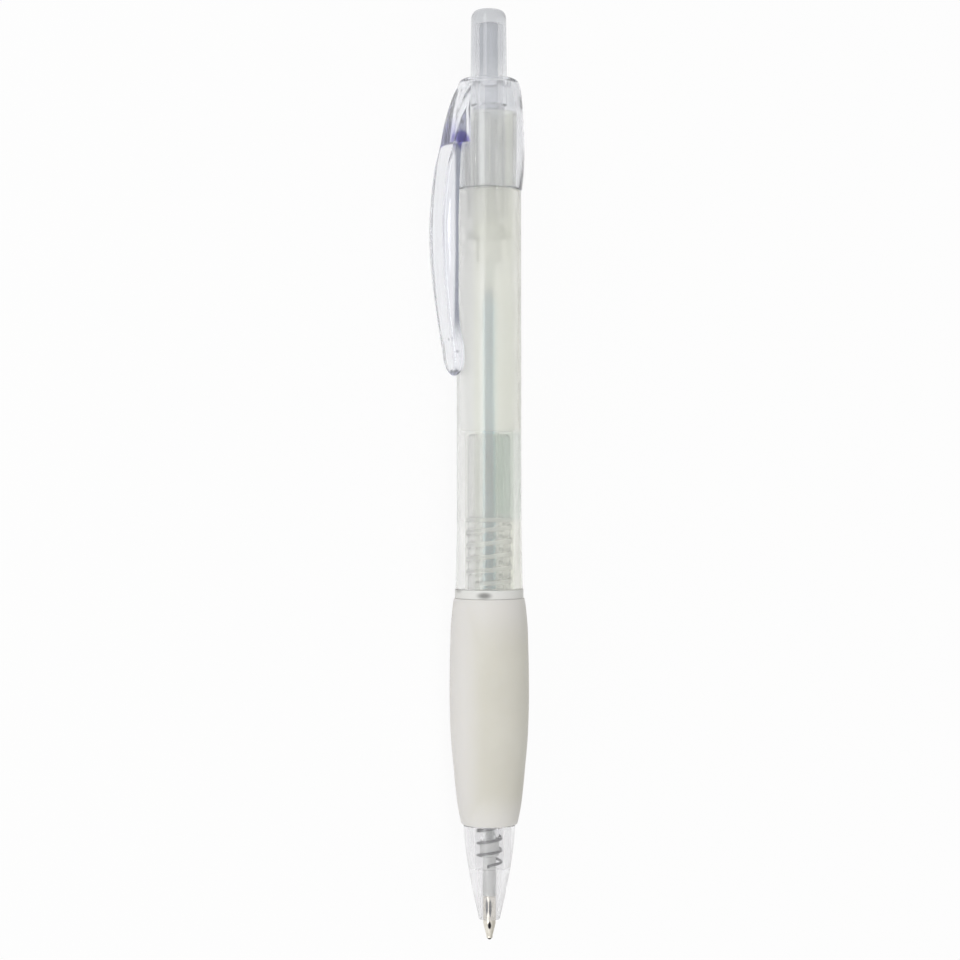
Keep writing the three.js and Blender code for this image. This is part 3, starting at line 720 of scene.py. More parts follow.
def cap_plastic(name):
    """The cap's clear plastic: painted light in a stripe on its lit side, painted shade away
    from the light, a painted violet reflection where the clip's root ends at the slot and
    painted shade along the clip's inner edge."""
    made, tree, shader, colour, _ = clear_plastic(
        name, CAP, CAP_PATCH, ior=1.52, haze=CAP_HAZE, depth_colour=CAP_DEPTH, density=16
    )
    place = pen_coordinate(tree)
    back = behind_tip(tree, place)
    lit = out_from_axis(tree, place, LIT_WAY)
    reach = out_from_axis(tree, place, CLIP_WAY)
    before_slot = fall(tree, back, SLOT_BACK - 0.5, SLOT_BACK)
    # Painted light: a white stripe on the cap's lit side, short of its top
    painted_light_strip = product(
        tree,
        band(tree, lit, (1.9, 2.3), (3.4, 3.7)),
        fall(tree, back, CAP_BACK - 7, CAP_BACK - 4),
    )
    # Painted shade: the shoulder's side away from the light
    shoulder = product(
        tree, fall(tree, lit, -3.2, -2.2), ramp(tree, back, NECK_BACK - 0.5, NECK_BACK + 1)
    )
    # Painted shade and dark reflection along the clip's inner edge
    shaded_clip_edge = product(
        tree,
        fall(tree, reach, 7.0, 7.5),
        ramp(tree, back, CLIP_FRONT + 4, CLIP_FRONT + 9),
        ramp(tree, out_from_axis(tree, place, ACROSS), 1.6, 2.0),
        before_slot,
        ramp(tree, reach, 5.3, 5.6),
    )
    specks = (pen_place(7.5, 1.0, 90.0), pen_place(7.4, 1.9, 90.1), pen_place(6.6, 2.0, 88.2))
    # where the painted dark reflection goes, in the slot's corners
    slot_corners = [pen_place(6.1, side * CLIP_HALF_WIDTH, SLOT_BACK + 0.5) for side in (1, -1)]
    colour = painted(
        tree,
        colour,
        (painted_light_strip, WHITE),
        # painted shade on the cap's edge away from the light
        (fall(tree, lit, -4.3, -3.5), CAP_SHADED_EDGE_GREY),
        (shoulder, SHOULDER_SHADE_GREY),
        # painted violet reflection at the clip's root
        (near_to(tree, place, pen_place(7.4, 0, SLOT_BACK + 1.0), 1.2, 3.6), ROOT_REFLECTION_VIOLET),
        (product(tree, ramp(tree, reach, 5.0, 5.5), before_slot), CLIP_GREY),
        (shaded_clip_edge, CLIP_EDGE_SHADE_NAVY),
        *((near_to(tree, place, speck, 0.12, 0.3), CLIP_SPECK) for speck in specks),
        *((near_to(tree, place, corner, 0.8, 1.4), SLOT_REFLECTION_VIOLET) for corner in slot_corners),
    )
    set_inputs(shader, {"Base Color": colour})
    return made


def frosted_plastic(name):
    """Milky barrel plastic: satin outside, smooth in the bore, clearer over the spigot and in
    the neck, with painted light on its lit side and a painted green shade over the spigot,
    away from the light."""
    made, tree, shader = new_material(name)
    place = pen_coordinate(tree)
    back = behind_tip(tree, place)
    lit = out_from_axis(tree, place, LIT_WAY)
    # Painted shade: green over the spigot, on the side away from the light
    unlit_spigot = product(
        tree,
        fall(tree, lit, -2.5, -0.5),
        ramp(tree, back, COLLAR_FRONT, COLLAR_BACK),
        fall(tree, back, SPIGOT_BACK, SPIGOT_BACK + 1),
    )
    satin = product(
        tree,
        ramp(tree, axis_distance(tree, place), BARREL_BORE, NECK_RADIUS),
        mottle(tree, place, 1200, 3, 0.9, 1.1),
        ramp(tree, back, COLLAR_FRONT - 1, COLLAR_FRONT + 1, 0.07, 0.10),
        ramp(tree, back, SPIGOT_BACK, SPIGOT_BACK + 5, 1.0, 1.6),
    )
    clear = math_of(
        tree,
        "ADD",
        ramp(tree, back, COLLAR_FRONT, COLLAR_BACK, 0.83, 0.80),
        ramp(tree, back, SPIGOT_BACK - 0.3, SPIGOT_BACK + 0.7, 0, -0.08),
        ramp(tree, back, BARREL_BACK - 0.5, BARREL_BACK + 0.5, 0, 0.16),
    )
    colour = painted(
        tree,
        mixed(tree, mottle(tree, place, 90), FROST, FROST_PATCH),
        # painted light on the barrel's lit side
        (ramp(tree, lit, 1.7, 2.7), LIT_FROST),
        (unlit_spigot, FROST_SHADE_GREEN),
    )
    look = {
        "Base Color": colour,
        "Roughness": math_of(tree, "MAXIMUM", satin, 0.06),
        "IOR": 1.46,
        "Transmission Weight": clear,
        "Normal": bump(tree, noise(tree, place, 700, 2), 0.1, 0.00001),
    }
    set_inputs(shader, look)
    return made


def soft_rubber(name):
    """Matt off-white elastomer with a fine moulded tooth, with painted light on its lit side,
    and paler at its ends.
    """
    made, tree, shader = new_material(name)
    place = pen_coordinate(tree)
    back = behind_tip(tree, place)
    # Painted light on the lit side, and paler towards the grip's ends
    painted_light_and_pale_ends = math_of(
        tree,
        "MAXIMUM",
        ramp(tree, out_from_axis(tree, place, LIT_WAY), 0.5, 4.2),
        ramp(tree, back, GRIP_BACK - 9, GRIP_BACK, 0, 0.9),
        ramp(tree, back, GRIP_FRONT, GRIP_FRONT + 6, 0.9, 0),
    )
    colour = mixed(tree, mottle(tree, place, 120, 4), RUBBER, RUBBER_PATCH)
    look = {
        "Base Color": mixed(tree, painted_light_and_pale_ends, colour, PALE_RUBBER),
        "Roughness": mottle(tree, place, 1800, 4, 0.52, 0.66),
        "IOR": 1.45,
        "Subsurface Weight": 0.35,
        "Subsurface Scale": 0.0015,
        "Subsurface Radius": (1.0, 0.95, 0.8),
        "Sheen Weight": 0.12,
        "Sheen Roughness": 0.5,
        "Normal": bump(tree, noise(tree, place, 9000, 3), 0.3, 0.00002),
    }
    set_inputs(shader, look)
    return made


def white_plastic(name):
    """Natural white plastic, which lets more light through in the rotor than in the plug."""
    made, tree, shader = new_material(name)
    place = pen_coordinate(tree)
    in_rotor = ramp(tree, behind_tip(tree, place), ROTOR_FRONT - 2, ROTOR_FRONT - 1)
    colour = mixed(tree, mottle(tree, place, 400), PLUG, PLUG_PATCH)
    look = {
        "Base Color": mixed(tree, in_rotor, colour, ROTOR),
        "Roughness": mottle(tree, place, 3000, 3, 0.28, 0.42),
        "IOR": 1.46,
        "Transmission Weight": ramp(tree, in_rotor, 0, 1, 0.35, 0.8),
    }
    set_inputs(shader, look)
    return made


def tube_plastic(name):
    """Natural polypropylene tube: cloudy and slightly blurring, with a film of ink on the
    bore where it is filled."""
    made, tree, shader = new_material(name)
    place = pen_coordinate(tree)
    back = behind_tip(tree, place)
    plain = mixed(tree, mottle(tree, place, 500), TUBE, TUBE_PATCH)
    filled = band(tree, back, (INK_FRONT - 1, INK_FRONT + 1), (INK_BACK - 3, INK_BACK))
    thick = fall(tree, back, THICK_FILM_BACK - 4, THICK_FILM_BACK)
    look = {
        "Base Color": mixed(tree, filled, plain, mixed(tree, thick, FILM, THICK_FILM)),
        "Roughness": mottle(tree, place, 3000, 3, 0.08, 0.16),
        "IOR": 1.49,
        "Transmission Weight": 0.85,
    }
    set_inputs(shader, look)
    return made


def blue_ink(name):
    """Thick ink, glossy where it lies against the tube."""
    made, tree, shader = new_material(name)
    place = pen_coordinate(tree)
    look = {
        "Base Color": mixed(tree, mottle(tree, place, 700), INK, INK_PATCH),
        "Roughness": mottle(tree, place, 2000, 3, 0.1, 0.25),
        "IOR": 1.47,
    }
    set_inputs(shader, look)
    return made


def metal(name, light, patch, rough, ring_scale, ring_depth, *marks):
    """Turned or drawn metal, with fine rings round the pen's axis. A mark is its place, how
    many times longer than wide it is, and near_to()'s two distances."""
    made, tree, shader = new_material(name)
    place = pen_coordinate(tree)
    rings = noise(tree, scaled(tree, place, (1, 0.02, 0.02)), ring_scale, 2)
    colour = painted(
        tree,
        mixed(tree, mottle(tree, place, 1500), patch, light),
        *(
            (smear(tree, place, centre, 1 / length, inside, outside), DARK_SPOT_AND_REFLECTION)
            for centre, length, inside, outside in marks
        ),
    )
    look = {
        "Base Color": colour,
        "Roughness": ramp(tree, rings, 0.3, 0.7, rough * 0.7, rough * 1.3),
        "Metallic": 1.0,
        "Normal": bump(tree, rings, 0.35, ring_depth),
    }
    set_inputs(shader, look)
    return made


POINT_MARKS = (  # a dark spot near the ball and two painted reflection lines further back
    (pen_place(0.38, 0.66, 2.4), 2.5, 0.2, 0.34),
    (pen_place(0.74, 0.59, 5.2), 7.0, 0.13, 0.22),
    (pen_place(0.39, 0.87, 5.0), 7.0, 0.13, 0.22),
)
MATERIALS = {
    "clear_plastic": button_and_nose_plastic("clear_plastic"),
    "cap_plastic": cap_plastic("cap_plastic"),
    "frosted_plastic": frosted_plastic("frosted_plastic"),
    "grip_rubber": soft_rubber("grip_rubber"),
    "white_plastic": white_plastic("white_plastic"),
    "tube_plastic": tube_plastic("tube_plastic"),
    "blue_ink": blue_ink("blue_ink"),
    "point_metal": metal("point_metal", NICKEL, NICKEL_PATCH, 0.2, 9000, 0.000006, *POINT_MARKS),
    "ball_metal": metal("ball_metal", CARBIDE, CARBIDE_PATCH, 0.3, 4000, 0.000002),
    "spring_steel": metal("spring_steel", STEEL, STEEL_PATCH, 0.22, 6000, 0.000004),
}

# Pieces. Their outlines are the corners that rounded() takes.


def nose_side():
    """The nose cone's side, from its end back to the grip."""
    points = []
    for i in range(NOSE_STEPS + 1):
        t = i / NOSE_STEPS
        fill = 1 - (1 - t) ** NOSE_CURVE
        radius = NOSE_END_RADIUS + (NOSE_BASE_RADIUS - NOSE_END_RADIUS) * fill
        points.append((radius, NOSE_END + NOSE_LENGTH * t))
    return points


def threaded(radius, z, angle):
    """A shape for turned(): the spigot's skin with its helical ridge."""
    turns = (z - THREAD_START) / THREAD_PITCH - angle / (2 * math.pi)
    lap = round(turns) + angle / (2 * math.pi)
    if abs(radius - SPIGOT_RADIUS) > SAME or not 0 <= lap <= THREAD_TURNS:
        return radius, z
    away = abs(turns - round(turns)) * THREAD_PITCH
    rise = min(max((THREAD_FOOT - away) / (THREAD_FOOT - THREAD_CREST), 0), 1)
    fade = min(lap / THREAD_RUN_OUT, (THREAD_TURNS - lap) / THREAD_RUN_OUT, 1)
    return radius + THREAD_HEIGHT * rise * rise * (3 - 2 * rise) * fade, z


def front_section():
    nose = nose_side()
    collar_radius = SPIGOT_RADIUS + THREAD_HEIGHT
    skin = np.linspace(SKIN_FRONT, SKIN_BACK, SKIN_STEPS + 1)[1:-1]
    head = rounded(
        (NOSE_BORE, SPRING_SEAT),
        (NOSE_BORE, NOSE_END, 0.12),
        (*nose[0], 0.15),
        nose[1],
        closed=False,
    )
    flange = rounded(
        nose[-2],
        (*nose[-1], 0.15),
        (CORE_RADIUS, NOSE_END + NOSE_LENGTH, 0.05),
        (CORE_RADIUS, FLANGE_FRONT, 0.05),
        (FLANGE_RADIUS, FLANGE_FRONT, FLANGE_EDGE),
        (FLANGE_RADIUS, FLANGE_BACK, FLANGE_EDGE),
        (SPIGOT_RADIUS, FLANGE_BACK, 0.05),
        (SPIGOT_RADIUS, SKIN_FRONT),
        closed=False,
    )
    spigot = rounded(
        (SPIGOT_RADIUS, SKIN_BACK),
        (SPIGOT_RADIUS, COLLAR_FRONT, 0.04),
        (collar_radius, COLLAR_FRONT, 0.12),
        (collar_radius, COLLAR_BACK, 0.12),
        (SPIGOT_RADIUS, COLLAR_BACK, 0.04),
        (SPIGOT_RADIUS + 10 * SAME, SPIGOT_BACK - SPIGOT_CHAMFER, 0.1),  # off the threaded skin
        (SPIGOT_RADIUS - SPIGOT_CHAMFER, SPIGOT_BACK, 0.1),
        (SPRING_POCKET, SPIGOT_BACK, 0.15),
        (SPRING_POCKET, SPRING_SEAT, 0.1),
        closed=False,
    )
    outline = head[1:] + nose[2:-2] + flange + [(SPIGOT_RADIUS, z) for z in skin] + spigot
    return turned([*outline, (NOSE_BORE, SPRING_SEAT)], shape=threaded)


def grip_sleeve():
    length = GRIP_BACK - GRIP_FRONT
    side = smooth_through(  # radii at shares of the length
        (0.0, GRIP_FRONT_RADIUS),
        (0.085, 4.79),
        (0.245, 5.37),
        (0.405, 5.82),
        (0.57, GRIP_RADIUS),
        (0.845, 5.83),
        (0.957, 5.53),
        (1.0, GRIP_BACK_RADIUS),
    )
    steps = range(1, GRIP_STEPS)
    outer = [(side(i / GRIP_STEPS), GRIP_FRONT + length * i / GRIP_STEPS) for i in steps]
    outline = rounded(
        (GRIP_BORE, GRIP_FRONT, 0.12),
        (GRIP_FRONT_RADIUS - GRIP_END_INSET, GRIP_FRONT, 0.35),
        *outer,
        (GRIP_BACK_RADIUS - GRIP_END_INSET, GRIP_BACK, 0.1),
        (GRIP_BORE, GRIP_BACK, 0.12),
    )
    return turned(outline)


def upper_barrel():
    flare = smooth_through((0, 1.0), (0.4, 0.5), (1.0, 0.0))
    side = [
        (
            BARREL_RADIUS + BARREL_FLARE * flare(i / FLARE_STEPS),
            BARREL_FRONT + BARREL_FLARE_LENGTH * i / FLARE_STEPS,
        )
        for i in range(1, FLARE_STEPS + 1)
    ]
    outline = rounded(
        (BARREL_BORE, BARREL_FRONT, 0.12),
        (BARREL_RADIUS + BARREL_FLARE, BARREL_FRONT, FLANGE_EDGE),
        *side,
        (BARREL_RADIUS, BARREL_BACK, 0.15),
        (NECK_RADIUS, BARREL_BACK, 0.06),
        (NECK_RADIUS, NECK_BACK, 0.15),
        (BARREL_BORE, NECK_BACK, 0.12),
    )
    rib_outer = (BARREL_BORE + NECK_RADIUS) / 2
    rib_back = NECK_BACK - RIB_INSET
    size = (RIB_INNER, rib_outer, RIB_WIDTH, rib_back - RIB_LENGTH, rib_back)
    return combine(turned(outline), blocks_round(RIB_COUNT, math.pi / RIB_COUNT, *size))


def cap_outside():
    widest = CAP_FRONT + CAP_LENGTH * CAP_WIDEST_PLACE
    shoulder = CAP_BACK - CAP_SHOULDER_LENGTH
    side = smooth_through(
        (CAP_FRONT, CAP_MOUTH_RADIUS),
        (CAP_FRONT + 2.9, CAP_RADIUS - 0.09),
        (widest, CAP_RADIUS),
        (widest + 3.95, CAP_RADIUS - 0.1),
        (widest + 7.6, CAP_SHOULDER_RADIUS + 0.23),
        (shoulder, CAP_SHOULDER_RADIUS),
    )
    outer = [(side(z), z) for z in np.linspace(CAP_FRONT, shoulder, CAP_STEPS + 1)[1:]]
    top = bend(
        (CAP_SHOULDER_RADIUS, shoulder),
        (CAP_SHOULDER_RADIUS - 0.25, CAP_BACK),
        (CAP_TOP_FLAT, CAP_BACK),
        SHOULDER_STEPS,
    )
    mouth = [(0, CAP_FRONT), (CAP_MOUTH_RADIUS, CAP_FRONT, 0.15)]
    return rounded(*mouth, *outer, *top[1:], (0, CAP_BACK), closed=False)


# How far the clip's outer and inner faces are from the pen's axis, at places along it. Behind
# the slot the inner face is inside the cap.
CLIP_OUTER = smooth_through(
    (CLIP_FRONT, 6.2),
    (CLIP_FRONT + 1.3, 6.86),
    (CLIP_FRONT + 4.0, 7.305),
    (CLIP_FRONT + 10.05, 8.24),
    (CLIP_FRONT + 16.05, 8.96),
    (CLIP_FRONT + 21.85, CLIP_BOW),
    (CLIP_FRONT + 25.25, 8.99),
    (CLIP_FRONT + 30.95, 8.25),
    (CLIP_FRONT + 33.95, 7.42),
    (CLIP_FRONT + 37.9, 6.6),
    (CLIP_FRONT + 41.5, 5.48),
    (CLIP_FRONT + 44.3, 3.95),
)
CLIP_INNER = smooth_through(
    (CLIP_FRONT, 5.75),
    (CLIP_FRONT + 0.35, 5.5),
    (CLIP_FRONT + 1.4, CLIP_FOOT),
    (CLIP_FRONT + 3.6, CLIP_FOOT + 0.02),
    (CLIP_FRONT + 7.4, 6.05),
    (CLIP_FRONT + 11.4, 6.35),
    (CLIP_FRONT + 21.85, 6.5),
    (CLIP_FRONT + 30.9, 6.2),
    (SLOT_BACK - 0.45, 5.96),
    (SLOT_BACK - 0.12, 5.75),
    (SLOT_BACK, 5.2),
    (SLOT_BACK + 0.05, 4.1),
    (CAP_BACK - 1.5, 4.1),
    (CAP_BACK - 0.3, 3.6),
)


def clip_half_width(z):
    tip = CLIP_FRONT + CLIP_TIP_ROUND
    if z < tip:
        short = (tip - z) / CLIP_TIP_ROUND
        return max(CLIP_TIP_HALF_WIDTH * math.sqrt(1 - short * short), CLIP_TIP_LEAST)
    if z < CLIP_WIDEST:
        gain = CLIP_HALF_WIDTH - CLIP_TIP_HALF_WIDTH
        return CLIP_TIP_HALF_WIDTH + gain * (z - tip) / (CLIP_WIDEST - tip)
    gain = CLIP_ROOT_HALF_WIDTH - CLIP_HALF_WIDTH
    return CLIP_HALF_WIDTH + gain * max(z - CAP_BACK + CLIP_ROOT_LENGTH, 0) / CLIP_ROOT_LENGTH


def clip_section(z):
    """A rounded rectangle whose outer face is slightly crowned."""
    inner, outer, half = CLIP_INNER(z), CLIP_OUTER(z), clip_half_width(z)
    middle = (inner + outer) / 2
    room = CLIP_MOST_EDGE * min(outer - inner, 2 * half)
    points = []
    for x, y, edge, start in (
        (outer, half, CLIP_OUTER_EDGE, 0.0),
        (inner, half, CLIP_INNER_EDGE, 0.5),
        (inner, -half, CLIP_INNER_EDGE, 1.0),
        (outer, -half, CLIP_OUTER_EDGE, 1.5),
    ):
        r = min(edge, room)
        cx = x - math.copysign(r, x - middle)
        cy = y - math.copysign(r, y)
        for i in range(CLIP_CORNER_STEPS + 1):
            angle = math.pi * (start + 0.5 * i / CLIP_CORNER_STEPS)
            points.append(Vector((cx + r * math.cos(angle), cy + r * math.sin(angle), z)))
    crown_depth = CLIP_CROWN * min(half / CLIP_HALF_WIDTH, 1)
    for p in points:
        if p.x > middle:
            p.x -= crown_depth * (p.y / half) ** 2
    return points


def clip_bar():
    """The clip and its root. Its sections are closest together at the slot's end."""
    tip_back = CLIP_FRONT + CLIP_TIP_ROUND
    turns = np.linspace(0.02, math.pi / 2, CLIP_TIP_STEPS)
    places = [CLIP_FRONT + CLIP_TIP_ROUND * (1 - math.cos(t)) for t in turns]
    for start, end, step in (
        (tip_back + 0.3, SLOT_BACK - 0.5, 0.4),
        (SLOT_BACK - 0.5, SLOT_BACK + 0.08, 0.03),
        (SLOT_BACK + 0.3, CAP_BACK - 0.4, 0.35),
    ):
        places += list(np.arange(start, end, step))
    return lofted([clip_section(z) for z in places])


def cap_inside():
    """What is cut from the cap and the clip's root: the room for the neck and the button."""
    top = CAP_BACK - CAP_TOP_THICKNESS
    outline = rounded(
        (0, CAP_FRONT - 1),
        (CAP_BORE + CUT_OVERRUN, CAP_FRONT - 1),
        (CAP_BORE, CAP_FRONT + 0.08, 0.12),
        (CAP_BORE, NECK_BACK + 0.3, 0.5),
        (CAP_BORE_TOP, top, 0.15),
        (CAP_HOLE, top, 0.1),
        (CAP_HOLE, CAP_BACK - 0.1, 0.12),
        (CAP_HOLE + CUT_OVERRUN, CAP_BACK + CUT_OVERRUN),
        (0, CAP_BACK + CUT_OVERRUN),
        closed=False,
    )
    return turned(outline)


def clip_cap():
    return combine(combine(turned(cap_outside()), [clip_bar()]), [cap_inside()], "DIFFERENCE")


def push_button():
    edge = bend(
        (BUTTON_RADIUS, BUTTON_BACK - BUTTON_EDGE_LENGTH),
        (BUTTON_RADIUS, BUTTON_BACK),
        (BUTTON_RADIUS - BUTTON_EDGE, BUTTON_BACK),
        EDGE_STEPS,
    )
    outline = rounded(
        (0, BUTTON_BACK - BUTTON_TOP_THICKNESS),
        (BUTTON_BORE, BUTTON_BACK - BUTTON_TOP_THICKNESS, 0.35),
        (BUTTON_BORE, PLUNGER_FRONT),
        (PLUNGER_RADIUS, PLUNGER_FRONT),
        (PLUNGER_RADIUS, PLUNGER_STEP, 0.1),
        (BUTTON_RADIUS + BUTTON_TAPER, PLUNGER_STEP + 0.3, 0.1),
        (BUTTON_RADIUS + BUTTON_TAPER, CAP_BACK, 0.3),
        *edge,
        (0, BUTTON_BACK),
        closed=False,
    )
    fin_root = (BUTTON_BORE + PLUNGER_RADIUS) / 2
    fins = blocks_round(FIN_COUNT, 0, fin_root, FIN_RADIUS, FIN_WIDTH, FIN_FRONT, FIN_BACK)
    return combine(turned(outline, shape=toothed(PLUNGER_FRONT, TOOTH_HEIGHT)), fins)


def ratchet_rotor():
    outline = rounded(
        (0, ROTOR_FRONT),
        (ROTOR_STEM_RADIUS, ROTOR_FRONT, 0.2),
        (ROTOR_STEM_RADIUS, ROTOR_STEM_BACK, 0.1),
        (PLUNGER_RADIUS, ROTOR_STEM_BACK, 0.12),
        (PLUNGER_RADIUS, ROTOR_BACK),
        (ROTOR_PIN_RADIUS, ROTOR_BACK),
        (ROTOR_PIN_RADIUS, ROTOR_PIN_BACK, 0.3),
        (0, ROTOR_PIN_BACK),
        closed=False,
    )
    fin_back = ROTOR_BACK - 2 * TOOTH_HEIGHT
    size = (ROTOR_STEM_RADIUS, FIN_RADIUS, FIN_WIDTH, ROTOR_STEM_BACK, fin_back)
    fins = blocks_round(FIN_COUNT, math.pi / FIN_COUNT, *size)
    return combine(turned(outline, AROUND_SMALL, toothed(ROTOR_BACK, -TOOTH_HEIGHT)), fins)


def refill_tube():
    outline = rounded(
        (TUBE_BORE, TUBE_FRONT, 0.08),
        (TUBE_RADIUS, TUBE_FRONT, 0.08),
        (TUBE_RADIUS, TUBE_BACK, 0.1),
        (TUBE_BORE, TUBE_BACK, 0.08),
    )
    ear_root = (TUBE_RADIUS + TUBE_BORE) / 2
    size = (ear_root, EAR_RADIUS, EAR_WIDTH, EAR_FRONT, EAR_FRONT + EAR_LENGTH)
    return combine(turned(outline, AROUND_SMALL), blocks_round(EAR_COUNT, 0, *size))


def ink_column():
    """The ink, with the curved surface that it has where the tube is empty behind it."""
    out = [1 - i / MENISCUS_STEPS for i in range(MENISCUS_STEPS + 1)]
    meniscus = [(INK_RADIUS * share, INK_BACK - INK_DIP * (1 - share**2)) for share in out]
    return turned([(0, INK_FRONT), (INK_RADIUS, INK_FRONT), *meniscus], AROUND_SMALL)


def point_adapter():
    outline = rounded(
        (SHANK_BORE, NOZZLE_FRONT, 0.05),
        (NOZZLE_RADIUS, NOZZLE_FRONT, 0.06),
        (NOZZLE_RADIUS, ADAPTER_COLLAR_FRONT, 0.1),
        (TUBE_RADIUS, ADAPTER_COLLAR_FRONT + 0.3, 0.15),
        (TUBE_RADIUS, ADAPTER_COLLAR_BACK, 0.1),
        (INK_RADIUS, ADAPTER_COLLAR_BACK, 0.05),
        (INK_RADIUS, PLUG_BACK, 0.15),
        (INK_CHANNEL, PLUG_BACK, 0.05),
        (INK_CHANNEL, SHANK_ROOM_BACK),
        (SHANK_BORE, SHANK_ROOM_BACK, 0.05),
    )
    return turned(outline, AROUND_SMALL)


def point_housing():
    outline = rounded(
        (SOCKET_RADIUS, POINT_LIP),
        (POINT_LIP_RADIUS, POINT_LIP, 0.03),
        (POINT_LIP_RADIUS, POINT_LIP + 0.3, 0.06),
        (POINT_RADIUS - 0.12, POINT_CONE_BACK - 0.5, 0.25),
        (POINT_RADIUS, POINT_CONE_BACK, 0.2),
        (POINT_RADIUS, POINT_BACK, 0.06),
        (SHANK_RADIUS, POINT_BACK, 0.03),
        (SHANK_RADIUS, SHANK_BACK, 0.08),
        (INK_CHANNEL, SHANK_BACK, 0.05),
        (INK_CHANNEL, SOCKET_BACK + 0.1),
        (SOCKET_RADIUS, SOCKET_BACK, 0.05),
    )
    return turned(outline, AROUND_SMALL)


def writing_ball():
    mesh = bmesh.new()
    bmesh.ops.create_icosphere(mesh, subdivisions=4, radius=BALL_RADIUS)
    bmesh.ops.translate(mesh, vec=(0, 0, BALL_RADIUS), verts=mesh.verts)
    return mesh


def spring():
    """One wire, straight for a wire's diameter at each end."""
    straight = 2 * WIRE_RADIUS
    rise = SPRING_BACK - SPRING_FRONT - 2 * straight
    steps = COIL_TURNS * WIRE_STEPS
    path = [(COIL_START, SPRING_FRONT)]
    for i in range(steps + 1):
        angle = COIL_START + 2 * math.pi * i / WIRE_STEPS
        path.append((angle, SPRING_FRONT + straight + rise * i / steps))
    path.append((path[-1][0], SPRING_BACK))
    at = [Vector((COIL_RADIUS * math.cos(a), COIL_RADIUS * math.sin(a), z)) for a, z in path]
    rings = []
    for i, (angle, _) in enumerate(path):
        along = (at[min(i + 1, len(at) - 1)] - at[max(i - 1, 0)]).normalized()
        out = Vector((math.cos(angle), math.sin(angle), 0))
        across = along.cross(out).normalized()
        rings.append(
            [
                at[i] + (out * math.cos(t) + across * math.sin(t)) * WIRE_RADIUS
                for t in (2 * math.pi * k / WIRE_SIDES for k in range(WIRE_SIDES))
            ]
        )
    return lofted(rings)


piece("clear_front_section", front_section(), "clear_plastic", "front_section", "front")
piece("rubber_grip", grip_sleeve(), "grip_rubber", "grip_sleeve", "front")
piece("frosted_barrel", upper_barrel(), "frosted_plastic", "upper_barrel", "barrel")
piece("clear_clip_cap", clip_cap(), "cap_plastic", "clip_cap", "barrel")
piece("clear_push_button", push_button(), "clear_plastic", "push_button", "button")
piece("white_rotor", ratchet_rotor(), "white_plastic", "ratchet_rotor", "rotor")
piece("natural_refill_tube", refill_tube(), "tube_plastic", "refill_tube", "refill")
piece("blue_ink_column", ink_column(), "blue_ink", "ink_column", "refill")
piece("white_point_adapter", point_adapter(), "white_plastic", "point_adapter", "refill")
piece("turned_point", point_housing(), "point_metal", "point_housing", "refill")
piece("carbide_ball", writing_ball(), "ball_metal", "writing_ball", "ball")
wire = piece("steel_spring", spring(), "spring_steel", "spring", sharp=60)
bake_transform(wire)

# Floor, light and camera, in metres

FLOOR_SIZE = 4.0
FLOOR_DROP = 0.0001  # how far the floor is under the pen
FLOOR_WHITE_SHARE = 0.92  # how much of the floor's look is its own white
BRIGHT_WAY = (0, -0.97, -0.24)  # where the studio is brightest
LIGHT_BOUNCES = 24
GLOSSY_BOUNCES = 12

scene = bpy.context.scene
scene.view_settings.view_transform = "Standard"
scene.cycles.max_bounces = LIGHT_BOUNCES
scene.cycles.transmission_bounces = LIGHT_BOUNCES
scene.cycles.glossy_bounces = GLOSSY_BOUNCES


def pale_floor():
    """White for the camera and for what metal and clear plastic send on, with its shadow."""
    made, tree, shader = new_material("pale_floor")
    tree.nodes.remove(shader)
    faint = mixed(tree, mottle(tree, pen_coordinate(tree), 40), PAPER, PAPER_PATCH)
    paper = node_of(tree, "ShaderNodeBsdfDiffuse", {"Color": faint})
    white = node_of(tree, "ShaderNodeEmission", {"Color": (*WHITE, 1), "Strength": 1.0})
    seen = rays(tree, "Is Camera Ray", "Is Transmission Ray", "Is Glossy Ray")
    use_mix(tree, product(tree, seen, FLOOR_WHITE_SHARE), paper, white)
    return made


grid = bmesh.new()
bmesh.ops.create_grid(grid, x_segments=8, y_segments=8, size=FLOOR_SIZE / 2)
floor = as_object(grid, "floor")
floor.location.z = CAD_BOX[0].z - FLOOR_DROP
floor.data.materials.append(pale_floor())


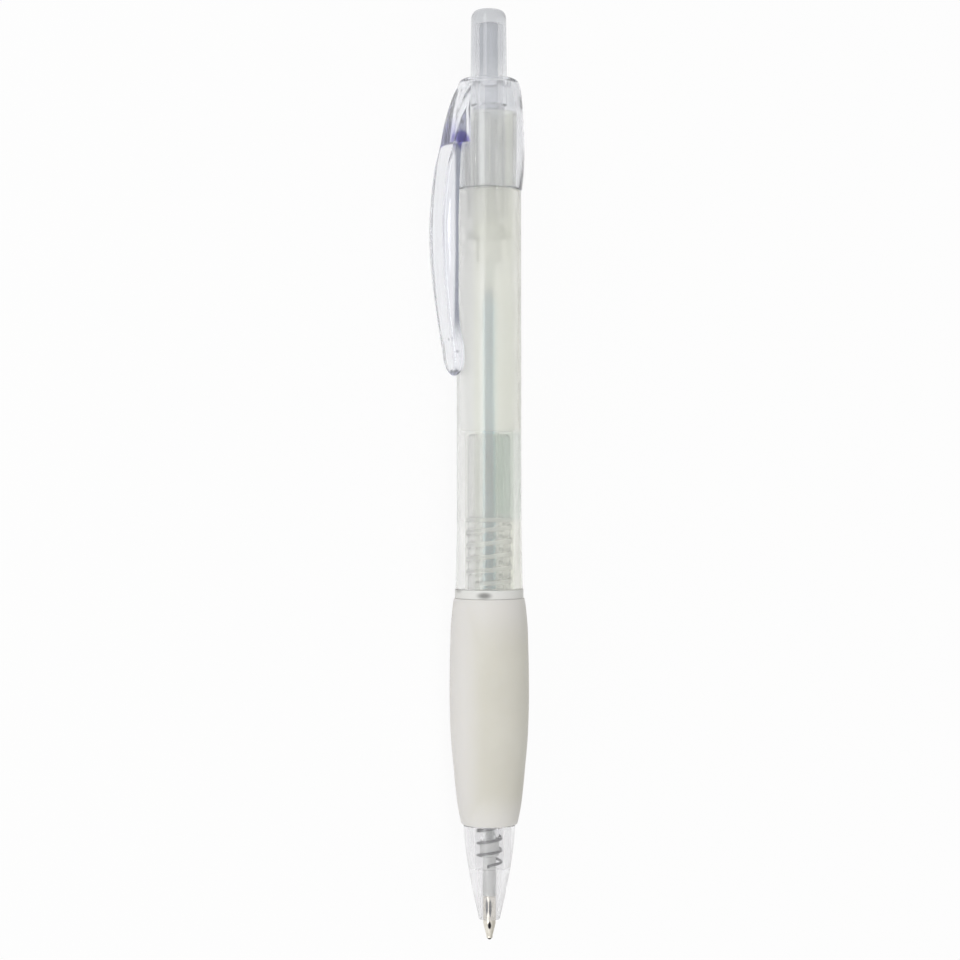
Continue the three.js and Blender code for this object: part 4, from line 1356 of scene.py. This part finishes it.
def light_studio():
    """Soft light that is brightest from low on the clip's side, and a white backdrop."""
    world = bpy.data.worlds.new("studio")
    scene.world = world
    world.use_nodes = True
    tree = world.node_tree
    way = node_of(tree, "ShaderNodeTexCoord").outputs["Generated"]
    towards = measure(tree, "DOT_PRODUCT", way, BRIGHT_WAY)
    studio = mixed(tree, ramp(tree, towards, -0.7, 0.9), STUDIO_DIM, STUDIO_BRIGHT)
    open_view = rays(tree, "Is Camera Ray", "Is Transmission Ray")
    colour = mixed(tree, open_view, studio, WHITE)
    set_inputs(tree.nodes["Background"], {"Color": colour, "Strength": 1.0})


def softbox(name, place, target, size, power):
    light = bpy.data.lights.new(name, "AREA")
    light.shape = "RECTANGLE"
    light.size, light.size_y = size
    light.energy = power
    thing = bpy.data.objects.new(name, light)
    thing.location = place
    aim = Vector(target) - Vector(place)
    thing.rotation_euler = aim.to_track_quat("-Z", "Y").to_euler()
    scene.collection.objects.link(thing)


light_studio()
softbox("key", place=(-0.05, -0.60, 0.13), target=(0, 0, 0), size=(0.70, 0.22), power=0.9)

# The camera looks square across the pen, from the clip's side
CAMERA_DISTANCE = 0.300
CAMERA_ELEVATION = math.radians(37.06)
CAMERA_ROLL = math.radians(-0.05)
SENSOR_WIDTH = 36.0
VIEW_HEIGHT = 0.1445  # what the picture spans at the pen, from edge to edge
VIEW_CENTRE_Z = 69.15  # the picture's middle, in millimetres behind the tip
AXIS_OFFSET = 0.00137  # how far the pen's axis is to the right of the picture's middle

to_camera = Vector((0, -math.cos(CAMERA_ELEVATION), math.sin(CAMERA_ELEVATION)))
picture_up = BUTTON_WAY
picture_right = (-to_camera).cross(picture_up)
aim = Vector((TIP - VIEW_CENTRE_Z * MM, AXIS.y, AXIS.z)) - picture_right * AXIS_OFFSET
place = Matrix.Translation(aim + to_camera * CAMERA_DISTANCE)
turn = Matrix((picture_right, picture_up, to_camera)).transposed().to_4x4()
lens = bpy.data.cameras.new("camera")
lens.sensor_width = SENSOR_WIDTH
lens.lens = lens.sensor_width * CAMERA_DISTANCE / VIEW_HEIGHT
lens.clip_start = 0.01
camera = bpy.data.objects.new("camera", lens)
camera.matrix_world = place @ turn @ Matrix.Rotation(CAMERA_ROLL, 4, "Z")
scene.collection.objects.link(camera)
scene.camera = camera
